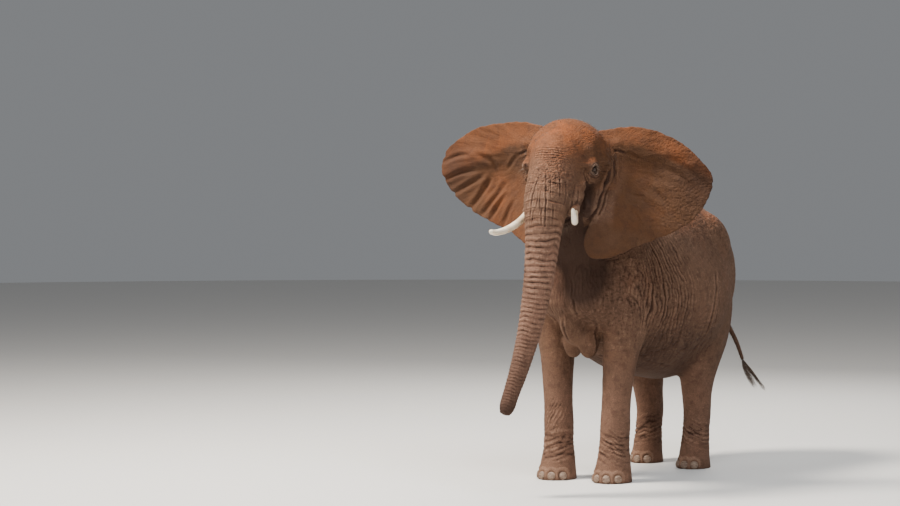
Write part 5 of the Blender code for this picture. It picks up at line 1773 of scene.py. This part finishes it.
class Groups:
    """The shader groups that several finishes use, each built once."""

    built: dict = {}

    @classmethod
    def get(cls, name: str, sockets: Sequence[tuple], fill: Callable) -> NodeTree:
        """Return a group, built the first time it is asked for.

        Args:
            name: the group's name.
            sockets: (name, "INPUT" or "OUTPUT", kind, value) of each socket.
            fill: function that takes Nodes and the group's inputs, and returns its outputs by name.

        Returns:
            The group's tree.
        """
        if name not in cls.built:
            tree = bpy.data.node_groups.new(name, "ShaderNodeTree")
            for label, way, kind, value in sockets:
                socket = tree.interface.new_socket(label, in_out=way, socket_type=f"NodeSocket{kind}")
                if value is not None:
                    socket.default_value = value
            nodes = Nodes(tree)
            inputs = nodes.add("NodeGroupInput").outputs
            outputs = nodes.add("NodeGroupOutput").inputs
            for label, socket in fill(nodes, inputs).items():
                tree.links.new(socket, outputs[label])
            cls.built[name] = tree
        return cls.built[name]

    @classmethod
    def cracks(cls) -> NodeTree:
        """Return the group of the net of fine cracks: its height, and a mask of the cracks."""
        sockets = (("Vector", "INPUT", "Vector", None), ("Scale", "INPUT", "Float", 80.0),
                   ("Width", "INPUT", "Float", 0.12), ("Height", "OUTPUT", "Float", None),
                   ("Cracks", "OUTPUT", "Float", None))

        def fill(nodes: Nodes, inputs: NodeInputs) -> dict:
            """Warp the place, then mix two nets of cells with grain."""
            drift = nodes.add("TexNoise", {"Vector": inputs["Vector"], "Scale": 26.0, "Detail": 3.0})
            shift = nodes.add("VectorMath", {0: drift.outputs["Color"], 1: (0.5, 0.5, 0.5)},
                              operation="SUBTRACT")
            shift = nodes.add("VectorMath", {0: shift.outputs[0], "Scale": 0.03}, operation="SCALE")
            place = nodes.add("VectorMath", {0: inputs["Vector"], 1: shift.outputs[0]}, operation="ADD")
            place = place.outputs[0]
            nets = []
            for share, size in ((1.0, 1.0), (2.7, 1.3)):
                scale = nodes.times(inputs["Scale"], share)
                net = nodes.add("TexVoronoi", {"Vector": place, "Scale": scale}, feature="DISTANCE_TO_EDGE")
                width = nodes.times(inputs["Width"], size)
                nets.append(nodes.math("DIVIDE", net.outputs["Distance"], width, clamp=True))
            grain = nodes.noise(place, 420.0, 3.0)
            height = nodes.math("ADD", nodes.times(nets[0], 0.55), nodes.times(nets[1], 0.25))
            height = nodes.math("ADD", height, nodes.times(grain, 0.25))
            cracks = nodes.math("SUBTRACT", 1.0, nodes.times(nets[0], nets[1]), clamp=True)
            return {"Height": height, "Cracks": cracks}

        return cls.get("hide cracks", sockets, fill)

    @classmethod
    def patches(cls) -> NodeTree:
        """Return the group of uneven stains: a mask of patches, and one of specks."""
        sockets = (("Vector", "INPUT", "Vector", None), ("Size", "INPUT", "Float", 4.0),
                   ("Amount", "INPUT", "Float", 0.5), ("Patches", "OUTPUT", "Float", None),
                   ("Specks", "OUTPUT", "Float", None))

        def fill(nodes: Nodes, inputs: NodeInputs) -> dict:
            """Threshold broad and fine noise about the amount."""
            broad = nodes.noise(inputs["Vector"], inputs["Size"], 6.0, 0.4)
            level = nodes.math("SUBTRACT", nodes.math("ADD", broad, inputs["Amount"]), 0.5)
            patches = nodes.spread(level, 0.4, 0.66)
            fine = nodes.noise(inputs["Vector"], nodes.times(inputs["Size"], 22.0), 3.0)
            return {"Patches": patches, "Specks": nodes.spread(fine, 0.56, 0.7)}

        return cls.get("uneven stains", sockets, fill)


class Finish:
    """What every finish shares: a material with one shader that its dress method feeds."""

    name = "finish"

    def material(self) -> Material:
        """Make the material."""
        material = bpy.data.materials.new(self.name)
        material.use_nodes = True
        nodes = Nodes(material.node_tree)
        self.dress(nodes, material.node_tree.nodes["Principled BSDF"])
        return material

    def dress(self, nodes: Nodes, shader: Node) -> None:
        """Feed the shader."""
        raise NotImplementedError


@dataclass(frozen=True)
class HideFinish(Finish):
    """Dusty wrinkled elephant hide."""

    name: str = "hide"
    brown: tuple = (0.16, 0.086, 0.052)
    # ridge is the paler raised skin, partly worn and dusty, partly painted highlight.
    ridge: tuple = (0.37, 0.22, 0.145)
    # groove is the colour of the painted shade in creases and recesses, and of the mottling and cracks.
    groove: tuple = (0.034, 0.015, 0.009)
    dust: tuple = (0.265, 0.074, 0.019)
    # pink also paints the light on the chest's lobe.
    pink: tuple = (0.25, 0.132, 0.09)
    rust: tuple = (0.08, 0.034, 0.013)
    # dark is the colour of the painted shade under the body, in the throat, hollows and deep folds, and of the
    # darker soles, tail and ear tips.
    dark: tuple = (0.026, 0.013, 0.009)
    pale: tuple = (0.38, 0.265, 0.2)
    # wet is partly painted shade round the eyes.
    wet: tuple = (0.012, 0.007, 0.006)

    def dress(self, nodes: Nodes, shader: Node) -> None:
        """Build the colour up from brown, stains, painted shade and light, ridges and grooves, and the height
        from cracks.
        """
        place = nodes.add("TexCoord").outputs["Object"]
        cavity = nodes.attribute("cavity").outputs["Fac"]
        stain = nodes.add("SeparateColor", {0: nodes.attribute("stain").outputs["Color"]}).outputs
        face = nodes.add("SeparateColor", {0: nodes.attribute("face").outputs["Color"]}).outputs
        cracks = nodes.add("Group", {"Vector": place, "Scale": 62.0, "Width": 0.13},
                           node_tree=Groups.cracks())
        stains = nodes.add("Group", {"Vector": place, "Size": 5.0, "Amount": 0.5}, node_tree=Groups.patches())
        patches, specks = stains.outputs["Patches"], stains.outputs["Specks"]
        tone = nodes.noise(place, 2.3, 5.0)
        colour = nodes.mix(nodes.spread(tone, 0.3, 0.7), self.brown, [c * 0.78 for c in self.brown])
        colour = nodes.mix(nodes.times(stain["Green"], 0.8), colour, self.pink)
        colour = nodes.mix(face["Blue"], colour, self.rust)
        dusty = nodes.times(stain["Red"], nodes.spread(patches, 0.0, 1.0, 0.55, 1.0))
        colour = nodes.mix(nodes.times(dusty, 0.85), colour, self.dust)
        # Paler on raised skin and specks: partly worn, dusty ridges, partly painted highlight.
        raised = nodes.times(nodes.spread(cavity, 0.26, 0.12), 0.55)
        scurf = nodes.times(specks, nodes.times(patches, 0.3))
        worn = nodes.times(nodes.math("MAXIMUM", raised, scurf), nodes.spread(face["Blue"], 0, 1, 1, 0.25))
        worn = nodes.times(worn, nodes.spread(stain["Green"], 0, 1, 0.55, 1))
        colour = nodes.mix(worn, colour, self.ridge)
        # Painted shade: the dark tone, mostly shade painted under the body, in the throat, hollows and deep
        # folds.
        colour = nodes.mix(nodes.times(stain["Blue"], 0.88), colour, self.dark)
        colour = nodes.mix(nodes.times(face["Red"], 0.72), colour, self.pale)
        # Painted shade in creases and recesses, by how deep the skin was carved.
        cavity_shade = nodes.times(nodes.spread(cavity, 0.32, 0.85), 0.88)
        colour = nodes.mix(cavity_shade, colour, self.groove)
        mottle = nodes.times(nodes.spread(nodes.noise(place, 17.0, 5.0), 0.47, 0.66), 0.3)
        colour = nodes.mix(mottle, colour, self.groove)
        colour = nodes.mix(nodes.times(cracks.outputs["Cracks"], 0.42), colour, self.groove)
        # The wet tone: wet skin, partly painted shade round the eyes.
        colour = nodes.mix(face["Green"], colour, self.wet)
        height = nodes.add("Bump", {"Height": cracks.outputs["Height"], "Strength": 0.75, "Distance": 0.0022})
        rough = nodes.spread(face["Green"], 0.2, 0.9, 0.86, 0.28)
        nodes.feed(shader, {"Base Color": colour, "Roughness": rough, "Normal": height.outputs[0],
                                  "Specular IOR Level": 0.22})


@dataclass(frozen=True)
class IvoryFinish(Finish):
    """Worn ivory, stained towards its root."""

    name: str = "ivory"
    cream: tuple = (0.84, 0.76, 0.62)
    stain: tuple = (0.48, 0.31, 0.12)
    crack: tuple = (0.16, 0.09, 0.045)

    def dress(self, nodes: Nodes, shader: Node) -> None:
        """Stain the root and streak the length."""
        place = nodes.add("TexCoord").outputs["Object"]
        along = nodes.attribute("along").outputs["Fac"]
        stains = nodes.add("Group", {"Vector": place, "Size": 9.0}, node_tree=Groups.patches())
        stretched = nodes.add("Mapping", {"Vector": place, "Scale": (60.0, 8.0, 60.0)}).outputs[0]
        streaks = nodes.noise(stretched, 3.0, 5.0)
        root = nodes.spread(along, 0.62, 0.28)
        amount = nodes.math("ADD", nodes.times(root, 0.35),
                            nodes.times(stains.outputs["Patches"], 0.3), clamp=True)
        colour = nodes.mix(amount, self.cream, self.stain)
        colour = nodes.mix(nodes.times(nodes.spread(streaks, 0.58, 0.72), 0.35), colour, self.crack)
        height = nodes.add("Bump", {"Height": streaks, "Strength": 0.35, "Distance": 0.0012})
        rough = nodes.spread(streaks, 0.3, 0.7, 0.32, 0.5)
        nodes.feed(shader, {"Base Color": colour, "Roughness": rough, "Normal": height.outputs[0],
                                  "Subsurface Weight": 0.08, "Subsurface Scale": 0.01})


@dataclass(frozen=True)
class EyeFinish(Finish):
    """A wet brown eye."""

    name: str = "eye"
    pupil: tuple = (0.002, 0.002, 0.002)
    iris: tuple = (0.06, 0.022, 0.008)
    rim: tuple = (0.018, 0.007, 0.004)
    white: tuple = (0.11, 0.055, 0.038)

    def dress(self, nodes: Nodes, shader: Node) -> None:
        """Colour rings out from the pupil."""
        away = nodes.attribute("from_pupil").outputs["Fac"]
        place = nodes.add("TexCoord").outputs["Object"]
        fibres = nodes.noise(place, 900.0, 3.0)
        iris = nodes.mix(fibres, self.iris, [c * 0.45 for c in self.iris])
        colour = nodes.mix(nodes.spread(away, 0.2, 0.24), self.pupil, iris)
        colour = nodes.mix(nodes.spread(away, 0.46, 0.54), colour, self.rim)
        colour = nodes.mix(nodes.spread(away, 0.58, 0.72), colour, self.white)
        nodes.feed(shader, {"Base Color": colour, "Roughness": 0.12, "Coat Weight": 0.5,
                                  "Coat Roughness": 0.03, "Specular IOR Level": 0.4})


@dataclass(frozen=True)
class NailFinish(Finish):
    """Dry horn with dust in its growth lines."""

    name: str = "nail"
    horn: tuple = (0.3, 0.215, 0.15)
    dirt: tuple = (0.105, 0.055, 0.036)

    def dress(self, nodes: Nodes, shader: Node) -> None:
        """Lay growth lines across and dirt in the cracks."""
        place = nodes.add("TexCoord").outputs["Object"]
        flat = nodes.add("Mapping", {"Vector": place, "Scale": (4.0, 4.0, 40.0)}).outputs[0]
        lines = nodes.noise(flat, 8.0, 5.0)
        cracks = nodes.add("Group", {"Vector": place, "Scale": 90.0, "Width": 0.07},
                           node_tree=Groups.cracks())
        colour = nodes.mix(nodes.spread(lines, 0.35, 0.65), self.horn, self.dirt)
        colour = nodes.mix(nodes.times(cracks.outputs["Cracks"], 0.45), colour, self.dirt)
        height = nodes.add("Bump", {"Height": lines, "Strength": 0.5, "Distance": 0.0015})
        nodes.feed(shader, {"Base Color": colour, "Roughness": 0.62, "Normal": height.outputs[0]})


@dataclass(frozen=True)
class HairFinish(Finish):
    """Stiff dark hair."""

    name: str = "hair"
    root: tuple = (0.05, 0.028, 0.018)
    worn: tuple = (0.13, 0.08, 0.052)

    def dress(self, nodes: Nodes, shader: Node) -> None:
        """Vary the colour along the body."""
        place = nodes.add("TexCoord").outputs["Object"]
        tone = nodes.spread(nodes.noise(place, 120.0, 2.0), 0.4, 0.6)
        nodes.feed(shader, {"Base Color": nodes.mix(tone, self.root, self.worn), "Roughness": 0.55})


@dataclass(frozen=True)
class FloorFinish(Finish):
    """The plain pale floor."""

    name: str = "floor"
    colour: tuple = (0.72, 0.7, 0.67)

    def dress(self, nodes: Nodes, shader: Node) -> None:
        """Set one plain colour."""
        nodes.feed(shader, {"Base Color": (*self.colour, 1.0), "Roughness": 0.9})


# ------------ the studio


@dataclass(frozen=True)
class Lamp:
    """A square lamp that faces the cow."""

    name: str
    bearing: float  # degrees round from the cow's front to its left
    height: float  # above the floor
    distance: float  # from the origin along the floor
    size: float
    power: float  # in watts
    colour: tuple

    def hang(self) -> None:
        """Hang the lamp."""
        data = bpy.data.lights.new(self.name, "AREA")
        data.size, data.energy, data.color = self.size, self.power, self.colour
        lamp = new_object(self.name, data)
        turn = math.radians(self.bearing)
        lamp.location = (self.distance * math.sin(turn), -self.distance * math.cos(turn), self.height)
        lamp.rotation_euler = (Vector((0, 0, 1.5)) - lamp.location).to_track_quat("-Z", "Y").to_euler()


@dataclass(frozen=True)
class Studio:
    """The camera, the lights and the floor."""

    bearing: float = 33.0  # degrees round from the cow's front to its left, where the camera stands
    distance: float = 20.0
    height: float = 2.48
    lens: float = 96.8
    sensor: float = 36.0
    turn: float = 3.2166  # degrees that the camera looks to the left of the origin
    dip: float = 1.7278
    sky: tuple = (0.86, 0.89, 0.93, 1.0)
    sky_strength: float = 0.25
    floor_radius: float = 40.0
    floor_drop: float = 0.001  # how far the floor lies below the soles
    lamps: tuple = (
        Lamp("key", -38.0, 10.0, 6.0, 2.4, 2900.0, (1.0, 0.93, 0.84)),
        Lamp("fill", 18.0, 4.5, 12.0, 4.0, 220.0, (0.95, 0.96, 1.0)),
        Lamp("sky", 48.0, 11.0, 7.0, 5.0, 1050.0, (0.9, 0.95, 1.0)),
        Lamp("rim", 200.0, 6.5, 8.0, 4.0, 480.0, (1.0, 0.97, 0.93)),
    )

    def place_camera(self, shift: Vector) -> None:
        """Stand the camera on its tripod."""
        bearing = math.radians(self.bearing)
        data = bpy.data.cameras.new("camera")
        data.sensor_width = self.sensor
        data.lens = self.lens
        camera = new_object("camera", data)
        x, y = self.distance * math.sin(bearing), -self.distance * math.cos(bearing)
        camera.location = shift + Vector((x, y, self.height))
        camera.rotation_euler = (math.radians(90 - self.dip), 0, math.radians(self.bearing + self.turn))
        bpy.context.scene.camera = camera

    def build(self, shift: Vector) -> None:
        """Set up the whole studio."""
        self.place_camera(shift)
        for lamp in self.lamps:
            lamp.hang()
        world = bpy.data.worlds.new("studio")
        world.use_nodes = True
        background = world.node_tree.nodes["Background"]
        background.inputs["Color"].default_value = self.sky
        background.inputs["Strength"].default_value = self.sky_strength
        bpy.context.scene.world = world
        bm = bmesh.new()
        bmesh.ops.create_circle(bm, cap_ends=True, segments=96, radius=self.floor_radius)
        floor = to_object("floor", bm)
        floor.location.z = -self.floor_drop
        floor.data.materials.append(FloorFinish().material())


# ------------ putting it together


def settle(obj: Object, shift: Vector, finish: Material,
           replaced: Sequence[str] = ()) -> None:
    """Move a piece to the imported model's place, dress it and let it ride.

    Args:
        obj: the piece.
        shift: from the layout's origin to the model's.
        finish: its material.
        replaced: the solids that it stands for.
    """
    obj.data.transform(Matrix.Translation(shift))
    obj.data.materials.clear()
    obj.data.materials.append(finish)
    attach(obj, "root")
    if replaced:
        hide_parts(*replaced)
    LOG.info("%s: %d faces", obj.name, len(obj.data.polygons))


def main() -> None:
    """Build the elephant in order: studio, skin, then what stands in it and grows from it."""
    logging.basicConfig(level=logging.INFO, format="%(relativeCreated)7d %(message)s")
    for obj in set(bpy.data.objects) - {*frame["nodes"].values(), *frame["bodies"].values()}:
        bpy.data.objects.remove(obj, do_unlink=True)
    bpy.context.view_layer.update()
    eyes = [Eye(side) for side in Side]
    corner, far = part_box("eye_left")
    shift = (corner + far) / 2 - HEAD @ Vector(eyes[0].centre)
    Studio().build(shift)

    hide = Hide()
    feet = [Foot(end, side, hide.body) for end in End for side in Side]
    skin = hide.build(eyes, TUSKS, feet)
    hairs = Bristles().build(skin, eyes)
    settle(skin.obj, shift, HideFinish().material(), hide.replaced)

    wet = EyeFinish().material()
    for eye in eyes:
        settle(eye.build(), shift, wet, [f"eye_{eye.side.label}"])
    ivory = IvoryFinish().material()
    for tusk in TUSKS:
        settle(tusk.build(), shift, ivory, [f"tusk_{tusk.side.label}"])
    horn = NailFinish().material()
    for foot in feet:
        for nail in foot.build():
            settle(nail, shift, horn, [nail.name.replace("nail_", "toenail_")])
    hair = HairFinish().material()
    settle(TailTuft().build(), shift, hair, ["tail_tuft"])
    for piece in hairs:
        settle(piece, shift, hair)


if __name__ == "__main__":
    main()
